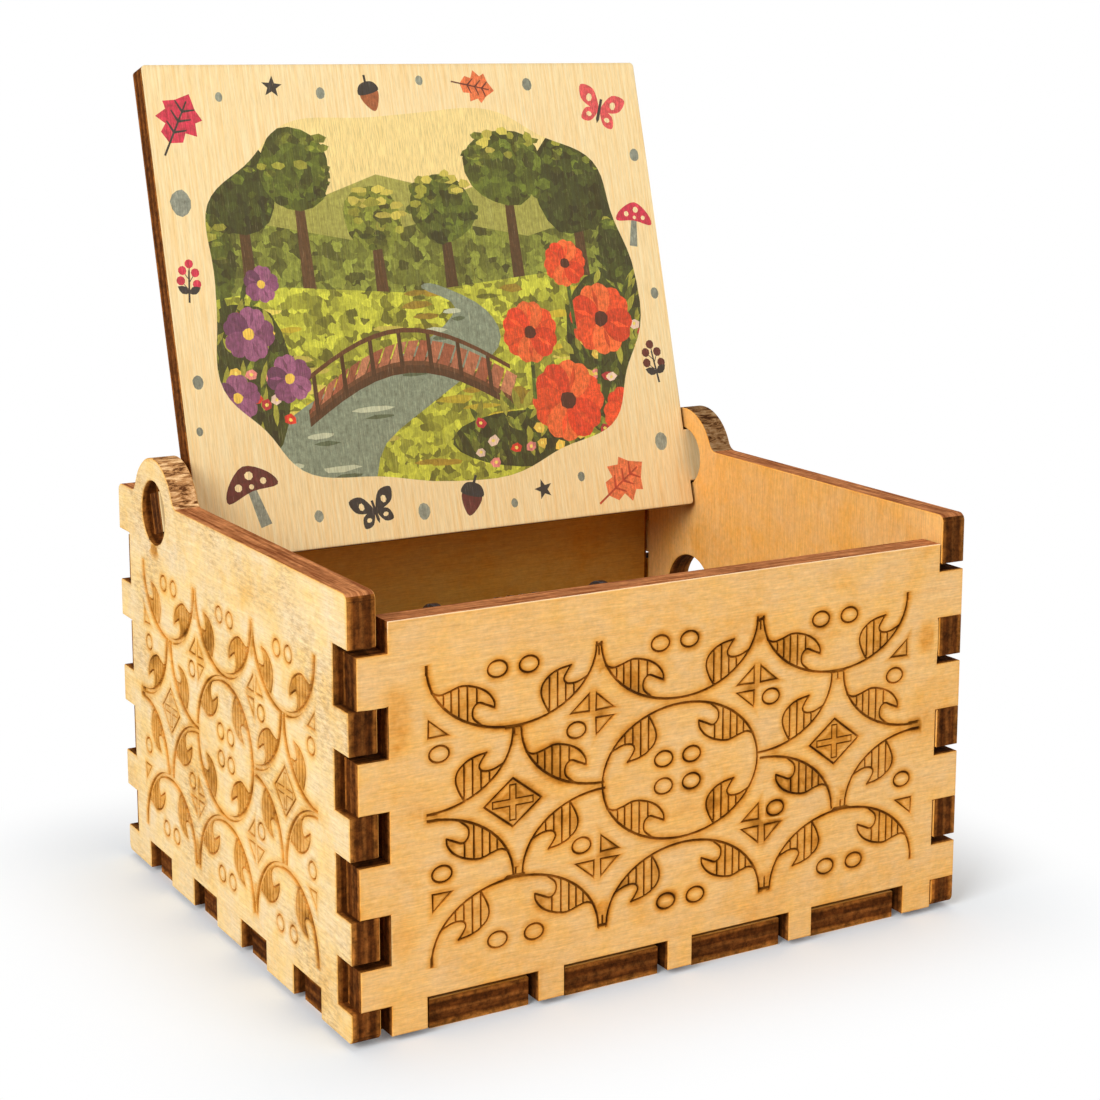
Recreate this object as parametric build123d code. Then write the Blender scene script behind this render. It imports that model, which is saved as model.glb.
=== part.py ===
from build123d import *
import math
import os

# A hand-cranked music box: a finger-jointed plywood case, a lid that swings in two round lugs,
# and a pinned-cylinder movement. Millimetres, +X to the crank side, +Y to the back, +Z up.
# The origin is the middle of the floor panel's underside, on the surface that the box stands on.

# Plywood case
ply = 3.0
case_width = 71.5
wall_height = 43.0
front_room = 1.5  # from the front wall to the movement
rear_room = 0.5  # from the movement to the back wall
kerf = 0.15  # gap that the cutting beam leaves at each joint's edge
floor_drop = 0.6  # how far the floor panel stands below the walls' lower edges
left_standoff = 1.0  # how far the left wall stands out past the ends of the fingers in it
corner_radius = 0.8

# Finger joints of the four upright corners
low_finger = 4.0
finger = 5.0
finger_play = 0.85  # gap left under each finger of the side walls

# Slots along the walls' lower edges, and the floor panel's tabs in them
slot_height = 3.1
slots_per_wall = 4
end_slot_width = 12.0
end_slot_gap = 2.9
side_slot_width = 6.6
side_slot_gap = 6.6
tab_play = 0.6
tab_recess = 1.0

# Lid and its hinge
hinge_setback = 11.0  # from the case's back face to the hinge line
eye_radius = 3.55
lug_radius = 6.0
lug_foot_radius = 1.5
pivot_width = 4.4
pivot_recess = 0.4  # from a side wall's outer face to the end of the pivot in it
pivot_tip = 0.8  # the narrow end of each pivot, past its shoulders
pivot_play = 0.06
lid_play = 0.25
lid_tail = 6.0
lid_corner_radius = 0.5
lid_open_angle = 105.5  # how far the lid is open at rest

# Crank line and the hole for it in the right wall
crank_setback = 12.6  # from the case's back face to the crank line
crank_height = 22.0  # above the floor panel's upper face
crank_hole_radius = 4.9

# Worm and worm wheel
gear_module = 0.55
wheel_teeth = 24
wheel_width = 3.0
wheel_hub_radius = 2.6
wheel_hub_length = 6.0
worm_pitch_radius = 2.4
worm_length = 6.6
addendum = 0.5
dedendum = 0.66
pressure_angle = 20.0
flank_play = 0.12
worm_steps_per_turn = 16

# Pinned cylinder
cylinder_radius = 6.2
cylinder_wall = 0.5
cylinder_length = 30.0
cylinder_to_crank = 6.4  # from the cylinder's rear end to the crank line
cap_thickness = 1.2
arbor_radius = 1.0
pin_width = 0.45
pin_height = 0.6
pin_root = 0.3
beats_per_turn = 40

# Comb
comb_teeth = 18
tooth_pitch = 1.5
tooth_gap = 0.35
comb_thickness = 1.0
comb_margin = 0.6
comb_seat_width = 5.4
longest_tooth = 9.6
shortest_tooth = 5.6
tip_gap = 0.15
weighted_teeth = 8
weight_length = 3.2
weight_depth = 2.2
weight_setback = 1.0

# Bedplate, a casting
foot_height = 2.2
foot_width = 6.0
foot_inset = 3.6
plate_thickness = 2.0
plate_corner_radius = 2.0
plate_front_margin = 2.0
plate_side_margin = 1.95
post_thickness = 3.0
post_gap = 1.5
post_radius = 3.4
pad_width = 5.0
pad_depth = 3.2
pad_height = 6.0
pad_spacing = 18.0

# Rear bearing plate
rear_plate_thickness = 1.2
rear_plate_radius = 3.4

# Crank bracket, a steel pressing
ear_gap = 21.6
ear_thickness = 1.0
ear_radius = 3.2
bracket_thickness = 1.0
cylinder_offset = 8.75  # the cylinder's line, to the right of the case's middle

# Bushes, and the clearances of shafts and pressed pieces
bush_radius = 2.0
bush_stand = 0.5  # how far a bush stands out of its plate
running_play = 0.03
snug = 0.02

# Screws, many-sided in place of round, with plain shanks
screw_sides = 12
screw_radius = 1.2
pan_radius = 2.0
pan_height = 1.5
sunk_radius = 2.4
screw_grip = 4.0
screw_end_gap = 0.4  # from a blind hole's end to the screw's

# Crank
rod_radius = 1.25
rod_sides = 16  # in place of round
bend_radius = 2.2
crank_throw = 17.0
wall_to_arm = 5.25  # from the right wall's outer face to the arm's middle
knob_gap = 0.3  # from the bend's end to the knob
knob_length = 9.2
knob_radius = 3.7
knob_waist = 2.7
rivet_radius = 2.0
rivet_height = 0.8
collar_radius = 2.6
collar_length = 3.0
ring_radius = 2.2
ring_thickness = 0.7
end_float = 0.1
shaft_end = 0.6  # the shaft's end past the retaining ring

# Places worked out from the sizes above. The case is as deep as the movement needs.
movement_depth = plate_front_margin + post_thickness + post_gap + cylinder_length + cylinder_to_crank
case_depth = ply + front_room + movement_depth + crank_setback
half_width = case_width / 2
half_depth = case_depth / 2
front_height = wall_height - ply
panel_left = -half_width + left_standoff
panel_middle = (panel_left + half_width) / 2
joint_depth = ply + kerf
hinge_y = half_depth - hinge_setback
hinge_z = floor_drop + wall_height - ply / 2
crank_y = half_depth - crank_setback
crank_z = ply + crank_height
wheel_pitch_radius = gear_module * wheel_teeth / 2
worm_pitch = math.pi * gear_module
cylinder_z = crank_z - wheel_pitch_radius - worm_pitch_radius
cylinder_rear = crank_y - cylinder_to_crank
cylinder_front = cylinder_rear - cylinder_length
cylinder_middle = (cylinder_rear + cylinder_front) / 2
plate_bottom = ply + foot_height
plate_top = plate_bottom + plate_thickness
bracket_top = plate_top + bracket_thickness
bracket_left = cylinder_offset - ear_gap / 2 - ear_thickness
bracket_right = cylinder_offset + ear_gap / 2 + ear_thickness
pin_circle = cylinder_radius + pin_height
comb_tip = cylinder_offset - pin_circle - tip_gap
comb_left = comb_tip - longest_tooth - comb_seat_width
comb_width = comb_teeth * tooth_pitch + 2 * comb_margin
comb_bottom = cylinder_z - comb_thickness / 2
post_rear = cylinder_front - post_gap
post_front = post_rear - post_thickness
rear_plate_front = half_depth - ply - rear_room - pan_height - rear_plate_thickness
plate_left = comb_left - comb_margin
plate_right = bracket_right + plate_side_margin
plate_front = post_front - plate_front_margin
arm_x = half_width + wall_to_arm
knob_left = arm_x + bend_radius + knob_gap


def rect(x0, x1, y0, y1):
    """A rectangle between two pairs of coordinates."""
    return Pos((x0 + x1) / 2, (y0 + y1) / 2) * Rectangle(x1 - x0, y1 - y0)


def block(x0, x1, y0, y1, z0, z1):
    """A box between three pairs of coordinates."""
    return Pos((x0 + x1) / 2, (y0 + y1) / 2, (z0 + z1) / 2) * Box(x1 - x0, y1 - y0, z1 - z0)


def along_x(x0, x1, y, z, radius):
    """A cylinder that lies along X."""
    return Pos((x0 + x1) / 2, y, z) * Rot(0, 90, 0) * Cylinder(radius, x1 - x0)


def along_y(y0, y1, x, z, radius):
    """A cylinder that lies along Y."""
    return Pos(x, (y0 + y1) / 2, z) * Rot(90, 0, 0) * Cylinder(radius, y1 - y0)


def upright(z0, z1, x, y, radius):
    """A cylinder that stands along Z."""
    return Pos(x, y, (z0 + z1) / 2) * Cylinder(radius, z1 - z0)


def prism(radius, height):
    """A rod with screw_sides sides along Z, for screws and their holes."""
    return extrude(RegularPolygon(radius, screw_sides), height / 2, both=True)


def upright_prism(z0, z1, x, y, radius):
    return Pos(x, y, (z0 + z1) / 2) * prism(radius, z1 - z0)


def end_fingers():
    """Lower and upper edges of the front and back walls' fingers, from the walls' lower edge."""
    edges = [(ply, ply + low_finger)]
    bottom = ply + low_finger + finger
    while bottom + finger < front_height:
        edges.append((bottom, bottom + finger))
        bottom += 2 * finger
    return edges


def slot_places(middle, width, gap):
    """Middles of a wall's slots, set evenly about its middle."""
    first = middle - (slots_per_wall - 1) * (width + gap) / 2
    return [first + k * (width + gap) for k in range(slots_per_wall)]


def end_wall_outline(height):
    """The front or back wall: fingers at both ends, slots along the lower edge."""
    outline = rect(panel_left + joint_depth, half_width - joint_depth, 0, height)
    for low, high in end_fingers():
        outline += rect(panel_left, half_width, low, high)
    for middle in slot_places(panel_middle, end_slot_width, end_slot_gap):
        outline -= rect(middle - end_slot_width / 2, middle + end_slot_width / 2, 0, slot_height)
    return outline


def side_wall_outline():
    """A side wall, seen along X: notches at both ends, slots below, a lug with an eye on top."""
    outline = rect(-half_depth, half_depth, 0, wall_height)
    outline = fillet(outline.vertices(), corner_radius)
    for low, high in end_fingers():
        for end in (-1, 1):
            edge = end * half_depth
            inner = end * (half_depth - joint_depth)
            outline -= rect(min(edge, inner), max(edge, inner), low, high + finger_play)
    for middle in slot_places(0, side_slot_width, side_slot_gap):
        outline -= rect(middle - side_slot_width / 2, middle + side_slot_width / 2, 0, slot_height)
    lug_z = hinge_z - floor_drop
    outline += Pos(hinge_y, lug_z) * Circle(lug_radius)
    feet = [
        v
        for v in outline.vertices()
        if abs(v.Y - wall_height) < 0.001 and abs(v.X - hinge_y) < lug_radius + 0.001
    ]
    outline = fillet(feet, lug_foot_radius)
    return outline - Pos(hinge_y, lug_z) * Circle(eye_radius)


def end_wall(outline, y):
    """Stands an end wall's outline up, with its rear face at y."""
    return Plane((0, y, floor_drop), x_dir=(1, 0, 0), z_dir=(0, -1, 0)) * extrude(outline, ply)


def side_wall(outline, x):
    """Stands a side wall's outline up, with its left face at x."""
    return Plane((x, 0, floor_drop), x_dir=(0, 1, 0), z_dir=(1, 0, 0)) * extrude(outline, ply)


def front_wall():
    return end_wall(end_wall_outline(front_height), -half_depth + ply)


def back_wall():
    return end_wall(end_wall_outline(wall_height), half_depth)


def left_wall():
    return side_wall(side_wall_outline(), -half_width)


def right_wall():
    hole = Pos(crank_y, crank_z - floor_drop) * Circle(crank_hole_radius)
    return side_wall(side_wall_outline() - hole, half_width - ply)


def foot_places():
    """The middles of the bedplate's four feet."""
    xs = (plate_left + foot_inset, plate_right - foot_inset)
    ys = (plate_front + foot_inset, rear_plate_front - foot_inset)
    return [(x, y) for x in xs for y in ys]


def screwed_feet():
    """Two opposite feet, which hold the movement down."""
    places = foot_places()
    return [places[0], places[-1]]


def floor_panel():
    """Fits between the walls, with a tab in each slot and a sunk hole under each screwed foot."""
    outline = Rectangle(case_width - 2 * joint_depth, case_depth - 2 * joint_depth)
    for middle in slot_places(panel_middle, end_slot_width, end_slot_gap):
        reach = half_depth - tab_recess
        outline += Pos(middle, 0) * Rectangle(end_slot_width - 2 * tab_play, 2 * reach)
    for middle in slot_places(0, side_slot_width, side_slot_gap):
        reach = half_width - tab_recess
        outline += Pos(0, middle) * Rectangle(2 * reach, side_slot_width - 2 * tab_play)
    panel = extrude(outline, ply)
    for x, y in screwed_feet():
        panel -= upright_prism(-1, ply + 1, x, y, screw_radius + kerf)
        panel -= sunk_head(x, y, kerf)
    return panel


def sunk_head(x, y, play):
    """A sunk screw head's cone, flush with the floor panel's underside."""
    rim = RegularPolygon(sunk_radius + play, screw_sides)
    return Pos(x, y, 0) * extrude(rim, sunk_radius - screw_radius, taper=45)


def lid():
    """Cut flat as it lies when shut, then swung open about the hinge line."""
    left = panel_left + joint_depth + lid_play
    right = half_width - joint_depth - lid_play
    outline = rect(left, right, -half_depth, hinge_y + lid_tail)
    outline = fillet(outline.vertices(), lid_corner_radius)
    pivot_span = case_width - 2 * pivot_recess
    outline += Pos(0, hinge_y) * Rectangle(pivot_span, pivot_width)
    # The shoulders' corners bear in the eye, so the lid turns about the eye's middle.
    shoulder = 2 * math.sqrt((eye_radius - pivot_play) ** 2 - (ply / 2) ** 2)
    outline += Pos(0, hinge_y) * Rectangle(pivot_span - 2 * pivot_tip, shoulder)
    panel = Pos(0, 0, hinge_z - ply / 2) * extrude(outline, ply)
    return panel.rotate(Axis((0, hinge_y, hinge_z), (1, 0, 0)), -lid_open_angle)


def bedplate():
    """The casting: plate, four feet, comb seat, front bearing post and two pads for the rear plate."""
    plate = block(plate_left, plate_right, plate_front, rear_plate_front, plate_bottom, plate_top)
    plate = fillet(plate.edges().filter_by(Axis.Z), plate_corner_radius)
    for x, y in foot_places():
        plate += Pos(x, y, (ply + plate_bottom) / 2) * Box(foot_width, foot_width, foot_height)
    seat_front = cylinder_middle - comb_width / 2
    seat_rear = cylinder_middle + comb_width / 2
    plate += block(comb_left, comb_left + comb_seat_width, seat_front, seat_rear, plate_top, comb_bottom)
    post_left = cylinder_offset - post_radius
    post_right = cylinder_offset + post_radius
    post = block(post_left, post_right, post_front, post_rear, plate_top, cylinder_z)
    post += along_y(post_front, post_rear, cylinder_offset, cylinder_z, post_radius)
    plate += post
    for side in (-1, 1):
        x = cylinder_offset + side * pad_spacing / 2
        y = rear_plate_front - pad_depth / 2
        z = plate_top + pad_height / 2
        plate += Pos(x, y, z) * Box(pad_width, pad_depth, pad_height)
        plate -= Pos(x, y, z) * Rot(90, 0, 0) * prism(screw_radius + snug, pad_depth + 2)
    plate -= along_y(post_front - 1, post_rear + 1, cylinder_offset, cylinder_z, bush_radius + snug)
    for x, y in screwed_feet():
        plate -= upright_prism(ply - 1, plate_top - screw_end_gap / 2, x, y, screw_radius + snug)
    for x, y in comb_screw_places():
        plate -= upright_prism(comb_bottom - screw_grip, comb_bottom + 1, x, y, screw_radius + snug)
    for x in bracket_screw_places():
        plate -= upright_prism(plate_bottom - 1, plate_top + 1, x, crank_y, screw_radius + snug)
    return plate


def bedplate_screws():
    """Two sunk screws, driven up through the floor panel into opposite feet."""
    top = plate_top - screw_end_gap
    return [upright_prism(0, top, x, y, screw_radius) + sunk_head(x, y, 0) for x, y in screwed_feet()]


def pan_screw(length):
    """A pan-head screw that points down, with the head's underside at the origin."""
    head = Pos(0, 0, pan_height / 2) * prism(pan_radius, pan_height)
    return head + Pos(0, 0, -length / 2) * prism(screw_radius, length)


def tooth_length(number):
    """Teeth grow shorter from the low notes at the front to the high notes at the back."""
    return longest_tooth + (shortest_tooth - longest_tooth) * number / (comb_teeth - 1)


def tooth_y(number):
    return cylinder_middle + (number - (comb_teeth - 1) / 2) * tooth_pitch


def comb_screw_places():
    x = comb_left + comb_seat_width / 2
    return [(x, cylinder_middle + side * comb_width * 0.3) for side in (-1, 1)]


def comb():
    """A steel plate slit into teeth, whose tips stop just short of the pins."""
    front = cylinder_middle - comb_width / 2
    rear = cylinder_middle + comb_width / 2
    root_front = comb_tip - longest_tooth
    root_rear = comb_tip - shortest_tooth
    corners = [(comb_left, front), (root_front, front), (root_rear, rear), (comb_left, rear)]
    outline = make_face(Polyline(*corners, close=True))
    half_tooth = (tooth_pitch - tooth_gap) / 2
    for number in range(comb_teeth):
        left = comb_tip - tooth_length(number) - tooth_pitch
        outline += rect(left, comb_tip, tooth_y(number) - half_tooth, tooth_y(number) + half_tooth)
    plate = Pos(0, 0, comb_bottom) * extrude(outline, comb_thickness)
    for x, y in comb_screw_places():
        plate -= upright_prism(comb_bottom - 1, comb_bottom + comb_thickness + 1, x, y, screw_radius + snug)
    return plate


def tuning_weights():
    """Lead pieces under the lowest teeth, each smaller than the one before."""
    weights = []
    for number in range(weighted_teeth):
        share = 1 - number / (weighted_teeth + 2)
        length = weight_length * share
        depth = weight_depth * share
        place = Pos(comb_tip - weight_setback - length / 2, tooth_y(number), comb_bottom - depth / 2)
        weights.append(place * Box(length, tooth_pitch - tooth_gap, depth))
    return weights


def comb_screws():
    top = comb_bottom + comb_thickness
    length = comb_thickness + screw_grip - screw_end_gap
    return [Pos(x, y, top) * pan_screw(length) for x, y in comb_screw_places()]


def pins_of(beat):
    """Numbers of the teeth that a beat plucks: a run over the scale, with a second voice now and then."""
    notes = [(beat * 7) % comb_teeth]
    if beat % 4 == 0:
        notes.append((beat * 5 + 4) % comb_teeth)
    return notes


def cylinder_shell():
    """A brass tube with a row of pins for each tooth."""
    tube = along_y(cylinder_front, cylinder_rear, cylinder_offset, cylinder_z, cylinder_radius)
    inner = cylinder_radius - cylinder_wall
    tube -= along_y(cylinder_front - 1, cylinder_rear + 1, cylinder_offset, cylinder_z, inner)
    pin = Box(pin_height + pin_root, pin_width, pin_width)
    reach = cylinder_radius + (pin_height - pin_root) / 2
    pins = []
    for beat in range(beats_per_turn):
        turn = Rot(0, 360 * (beat + 0.5) / beats_per_turn, 0)
        for number in pins_of(beat):
            pins.append(Pos(cylinder_offset, tooth_y(number), cylinder_z) * turn * Pos(reach, 0, 0) * pin)
    return tube + pins


def cylinder_caps():
    """Discs that close the tube's ends and grip the arbor."""
    cap = Cylinder(cylinder_radius - cylinder_wall - snug, cap_thickness)
    cap -= Cylinder(arbor_radius + snug, cap_thickness + 2)
    middles = (cylinder_front + cap_thickness / 2, cylinder_rear - cap_thickness / 2)
    return [Pos(cylinder_offset, y, cylinder_z) * Rot(90, 0, 0) * cap for y in middles]


def cylinder_arbor():
    """From the front bush's end to the rear bush's end."""
    rear = rear_plate_front + rear_plate_thickness
    return along_y(post_front - bush_stand, rear, cylinder_offset, cylinder_z, arbor_radius)


def tooth_half_angle(radius):
    """Half the angle that a wheel tooth takes at a radius."""
    half_arc = math.pi * wheel_pitch_radius / (2 * wheel_teeth) - flank_play / 2
    half_arc -= (radius - wheel_pitch_radius) * math.tan(math.radians(pressure_angle))
    return half_arc / wheel_pitch_radius


def wheel_section(turn):
    """The wheel's toothed outline as a closed wire, turned by an angle in radians."""
    tip = wheel_pitch_radius + addendum
    root = wheel_pitch_radius - dedendum
    points = []
    for tooth in range(wheel_teeth):
        middle = turn + 2 * math.pi * (tooth + 0.5) / wheel_teeth
        for radius, side in ((root, -1), (tip, -1), (tip, 1), (root, 1)):
            angle = middle + side * tooth_half_angle(radius)
            points.append((radius * math.cos(angle), radius * math.sin(angle)))
    return Wire.make_polygon([Vector(x, y, 0) for x, y in points], close=True)


def worm_wheel():
    """Brass wheel whose teeth lean by the worm's lead angle, with a hub on the arbor."""
    lean = worm_pitch / (2 * math.pi * worm_pitch_radius) * wheel_width / wheel_pitch_radius
    upper = wheel_section(lean / 2).moved(Location((0, 0, wheel_width / 2)))
    lower = wheel_section(-lean / 2).moved(Location((0, 0, -wheel_width / 2)))
    wheel = Part(Solid.make_loft([lower, upper], ruled=True).wrapped)
    wheel += Cylinder(wheel_hub_radius, wheel_hub_length)
    wheel -= Cylinder(arbor_radius + snug, wheel_hub_length + 2)
    # The wheel's axis goes to -Y and a gap between two teeth to the top, under the worm.
    return Pos(cylinder_offset, crank_y, cylinder_z) * Rot(0, -90, 0) * Rot(90, 0, 0) * wheel


def worm_point(turns, radius, offset):
    """A point of the worm's thread: turns along the helix, radius, and place along the axis."""
    angle = 2 * math.pi * turns
    return Vector(radius * math.cos(angle), radius * math.sin(angle), turns * worm_pitch + offset)


def worm():
    """Single right-hand thread on a sleeve: a ring of straight steps, cut flat at both ends."""
    root = worm_pitch_radius - dedendum
    tip = worm_pitch_radius + addendum
    slope = math.tan(math.radians(pressure_angle))
    half_pitch_line = worm_pitch / 4 - flank_play / 2
    half_root = half_pitch_line + dedendum * slope
    half_tip = half_pitch_line - addendum * slope
    profile = [(root, -half_root), (tip, -half_tip), (tip, half_tip), (root, half_root)]
    profile.append((root, worm_pitch - half_root))
    turns = math.ceil(worm_length / worm_pitch) + 2
    steps = turns * worm_steps_per_turn
    ring = [k / worm_steps_per_turn for k in range(worm_steps_per_turn + 1)]
    faces = []

    def triangle(a, b, c):
        faces.append(Face(Wire.make_polygon([a, b, c], close=True)))

    for step in range(steps):
        here = step / worm_steps_per_turn
        after = (step + 1) / worm_steps_per_turn
        for (r0, z0), (r1, z1) in zip(profile, profile[1:]):
            a, b = worm_point(here, r0, z0), worm_point(after, r0, z0)
            c, d = worm_point(after, r1, z1), worm_point(here, r1, z1)
            triangle(a, b, c)
            triangle(a, c, d)
    first_turn = [worm_point(part, *profile[0]) for part in ring]
    first_edge = [worm_point(0, r, z) for r, z in profile]
    last_turn = [worm_point(turns - 1 + part, *profile[-1]) for part in ring]
    last_edge = [worm_point(turns, r, z) for r, z in profile]
    foot = Vector(0, 0, worm_pitch / 2 - half_root)
    head = Vector(0, 0, turns * worm_pitch + worm_pitch / 2 - half_root)
    for loop, centre in ((first_turn, foot), (first_edge, foot), (last_turn, head), (last_edge, head)):
        for a, b in zip(loop, loop[1:]):
            triangle(a, b, centre)
    thread = Solid(Shell(faces))
    middle = turns * worm_pitch / 2
    thread = Pos(0, 0, -middle) * thread
    # A thread crosses the lower side at the middle of the length, where the wheel has a gap.
    phase = 360 * (middle / worm_pitch)
    thread = Rot(0, 0, -phase) * thread
    sleeve = Cylinder(tip + 1, worm_length) - Cylinder(rod_radius + snug, worm_length)
    thread = thread & sleeve
    return Pos(cylinder_offset, crank_y, crank_z) * Rot(0, 90, 0) * thread


def bush(length, bore):
    """A plain bush along Z: it stands out below the origin and fills its plate above."""
    total = length + bush_stand
    sleeve = Cylinder(bush_radius, total) - Cylinder(bore + running_play, total + 2)
    return Pos(0, 0, (length - bush_stand) / 2) * sleeve


def front_bush():
    return Pos(cylinder_offset, post_front, cylinder_z) * Rot(-90, 0, 0) * bush(post_thickness, arbor_radius)


def rear_bush():
    place = Pos(cylinder_offset, rear_plate_front, cylinder_z)
    return place * Rot(-90, 0, 0) * bush(rear_plate_thickness, arbor_radius)


def rear_plate():
    """A pressed plate, screwed to the casting's two pads, with a round head for the bush."""
    foot_half = pad_spacing / 2 + pad_width / 2
    foot_top = plate_top + pad_height
    head = Pos(cylinder_offset, cylinder_z)
    outline = rect(cylinder_offset - foot_half, cylinder_offset + foot_half, plate_bottom, foot_top)
    outline += head * Circle(rear_plate_radius)
    neck_height = cylinder_z - foot_top
    outline += head * Pos(0, -neck_height / 2) * Rectangle(2 * rear_plate_radius, neck_height)
    outline -= head * Circle(bush_radius + snug)
    for side in (-1, 1):
        hole = RegularPolygon(screw_radius + snug, screw_sides)
        outline -= Pos(cylinder_offset + side * pad_spacing / 2, plate_top + pad_height / 2) * hole
    rear = rear_plate_front + rear_plate_thickness
    return Plane((0, rear, 0), x_dir=(1, 0, 0), z_dir=(0, -1, 0)) * extrude(outline, rear_plate_thickness)


def rear_plate_screws():
    rear = rear_plate_front + rear_plate_thickness
    length = rear_plate_thickness + pad_depth
    screws = []
    for side in (-1, 1):
        x = cylinder_offset + side * pad_spacing / 2
        screws.append(Pos(x, rear, plate_top + pad_height / 2) * Rot(-90, 0, 0) * pan_screw(length))
    return screws


def bracket_screw_places():
    """Between each ear and the wheel."""
    reach = ear_gap / 2 - pan_radius - 0.5
    return (cylinder_offset - reach, cylinder_offset + reach)


def crank_bracket():
    """A U-shaped pressing: a base on the bedplate and two ears with round tops."""
    front = crank_y - ear_radius
    rear = crank_y + ear_radius
    base = block(bracket_left, bracket_right, front, rear, plate_top, bracket_top)
    for x in bracket_screw_places():
        base -= upright_prism(plate_top - 1, bracket_top + 1, x, crank_y, screw_radius + snug)
    ear = rect(crank_y - ear_radius, crank_y + ear_radius, plate_top, crank_z)
    ear += Pos(crank_y, crank_z) * Circle(ear_radius)
    ear -= Pos(crank_y, crank_z) * Circle(bush_radius + snug)
    ear = extrude(ear, ear_thickness)
    for x in (bracket_left, bracket_right - ear_thickness):
        base += Plane((x, 0, 0), x_dir=(0, 1, 0), z_dir=(1, 0, 0)) * ear
    return base


def bracket_screws():
    length = bracket_thickness + plate_thickness
    return [Pos(x, crank_y, bracket_top) * pan_screw(length) for x in bracket_screw_places()]


def ear_bushes():
    """One bush in each ear, standing out on the outside."""
    sleeve = bush(ear_thickness, rod_radius)
    left = Pos(bracket_left, crank_y, crank_z) * Rot(0, 90, 0) * sleeve
    right = Pos(bracket_right, crank_y, crank_z) * Rot(0, -90, 0) * sleeve
    return [left, right]


def crank_rod():
    """Round steel rod: the shaft, an arm that hangs down at rest, and the knob's pin with its rivet."""
    start = bracket_left - bush_stand - end_float - ring_thickness - shaft_end
    pin_end = knob_left + knob_length + end_float
    arm_z = crank_z - crank_throw
    turns = [(start, crank_z), (arm_x, crank_z), (arm_x, arm_z), (pin_end, arm_z)]
    path = FilletPolyline(*[(x, crank_y, z) for x, z in turns], radius=bend_radius)
    section = RegularPolygon(rod_radius, rod_sides)
    rod = sweep(Plane((start, crank_y, crank_z), z_dir=(1, 0, 0)) * section, path=path)
    rivet = along_x(pin_end, pin_end + rivet_height, crank_y, arm_z, rivet_radius)
    return rod + rivet


def ring_on_shaft(x0, length, radius):
    ring = along_x(x0, x0 + length, crank_y, crank_z, radius)
    return ring - along_x(x0 - 1, x0 + length + 1, crank_y, crank_z, rod_radius + snug)


def retaining_ring():
    """Keeps the shaft from being pulled out, outside the left ear."""
    return ring_on_shaft(bracket_left - bush_stand - end_float - ring_thickness, ring_thickness, ring_radius)


def shaft_collar():
    """Keeps the shaft from being pushed in, outside the right ear."""
    return ring_on_shaft(bracket_right + bush_stand + end_float, collar_length, collar_radius)


def crank_knob():
    """A turned knob that spins on the rod's pin, narrower towards the arm."""
    z = crank_z - crank_throw
    bore = rod_radius + running_play
    shape = [(bore, 0), (knob_waist, 0), (knob_radius, 0.8), (knob_radius, 1), (bore, 1)]
    profile = Polyline(*[(radius, share * knob_length) for radius, share in shape], close=True)
    knob = revolve(Plane.XZ * make_face(profile), Axis.Z)
    return Pos(knob_left, crank_y, z) * Rot(0, 90, 0) * knob


nodes = {
    "front_wall": front_wall,
    "back_wall": back_wall,
    "left_wall": left_wall,
    "right_wall": right_wall,
    "floor_panel": floor_panel,
    "lid": lid,
    "bedplate": bedplate,
    "bedplate_screws": bedplate_screws,
    "comb": comb,
    "tuning_weights": tuning_weights,
    "comb_screws": comb_screws,
    "cylinder_shell": cylinder_shell,
    "cylinder_caps": cylinder_caps,
    "cylinder_arbor": cylinder_arbor,
    "worm_wheel": worm_wheel,
    "front_bush": front_bush,
    "rear_plate": rear_plate,
    "rear_bush": rear_bush,
    "rear_plate_screws": rear_plate_screws,
    "crank_bracket": crank_bracket,
    "bracket_screws": bracket_screws,
    "ear_bushes": ear_bushes,
    "crank_rod": crank_rod,
    "worm": worm,
    "retaining_ring": retaining_ring,
    "shaft_collar": shaft_collar,
    "crank_knob": crank_knob,
}

os.makedirs("parts", exist_ok=True)
for name, build in nodes.items():
    shape = build()
    if isinstance(shape, list):
        shape = Compound(children=shape)
    export_step(shape, f"parts/{name}.step")
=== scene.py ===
import math
import random
import bmesh
import bpy
import numpy as np
from mathutils import Matrix, Vector
from mathutils.geometry import delaunay_2d_cdt


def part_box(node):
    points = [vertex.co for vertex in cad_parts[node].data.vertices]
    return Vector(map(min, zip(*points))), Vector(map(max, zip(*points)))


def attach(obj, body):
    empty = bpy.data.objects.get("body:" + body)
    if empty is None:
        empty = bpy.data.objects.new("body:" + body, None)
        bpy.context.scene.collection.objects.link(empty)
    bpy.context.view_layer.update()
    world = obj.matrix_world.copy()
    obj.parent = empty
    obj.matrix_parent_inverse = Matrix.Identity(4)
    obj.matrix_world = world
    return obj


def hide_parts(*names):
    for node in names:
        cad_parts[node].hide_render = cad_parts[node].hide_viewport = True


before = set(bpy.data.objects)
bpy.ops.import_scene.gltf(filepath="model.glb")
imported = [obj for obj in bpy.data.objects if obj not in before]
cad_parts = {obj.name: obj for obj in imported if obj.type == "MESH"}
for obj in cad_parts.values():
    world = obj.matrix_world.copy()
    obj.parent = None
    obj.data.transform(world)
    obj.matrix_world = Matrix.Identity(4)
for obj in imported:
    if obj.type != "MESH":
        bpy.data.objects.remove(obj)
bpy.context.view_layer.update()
scene = bpy.context.scene
scene.view_settings.view_transform = "Standard"

# ---------------------------------------------------------------------------
# The set: a flat sheet of white paper that the box stands on, three soft lamps
# and the camera, which looks down on the front wall and into the open box.


def linked(name, data):
    """A new object of the scene that shows a mesh, a lamp or the camera."""
    shown = bpy.data.objects.new(name, data)
    scene.collection.objects.link(shown)
    return shown


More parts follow.
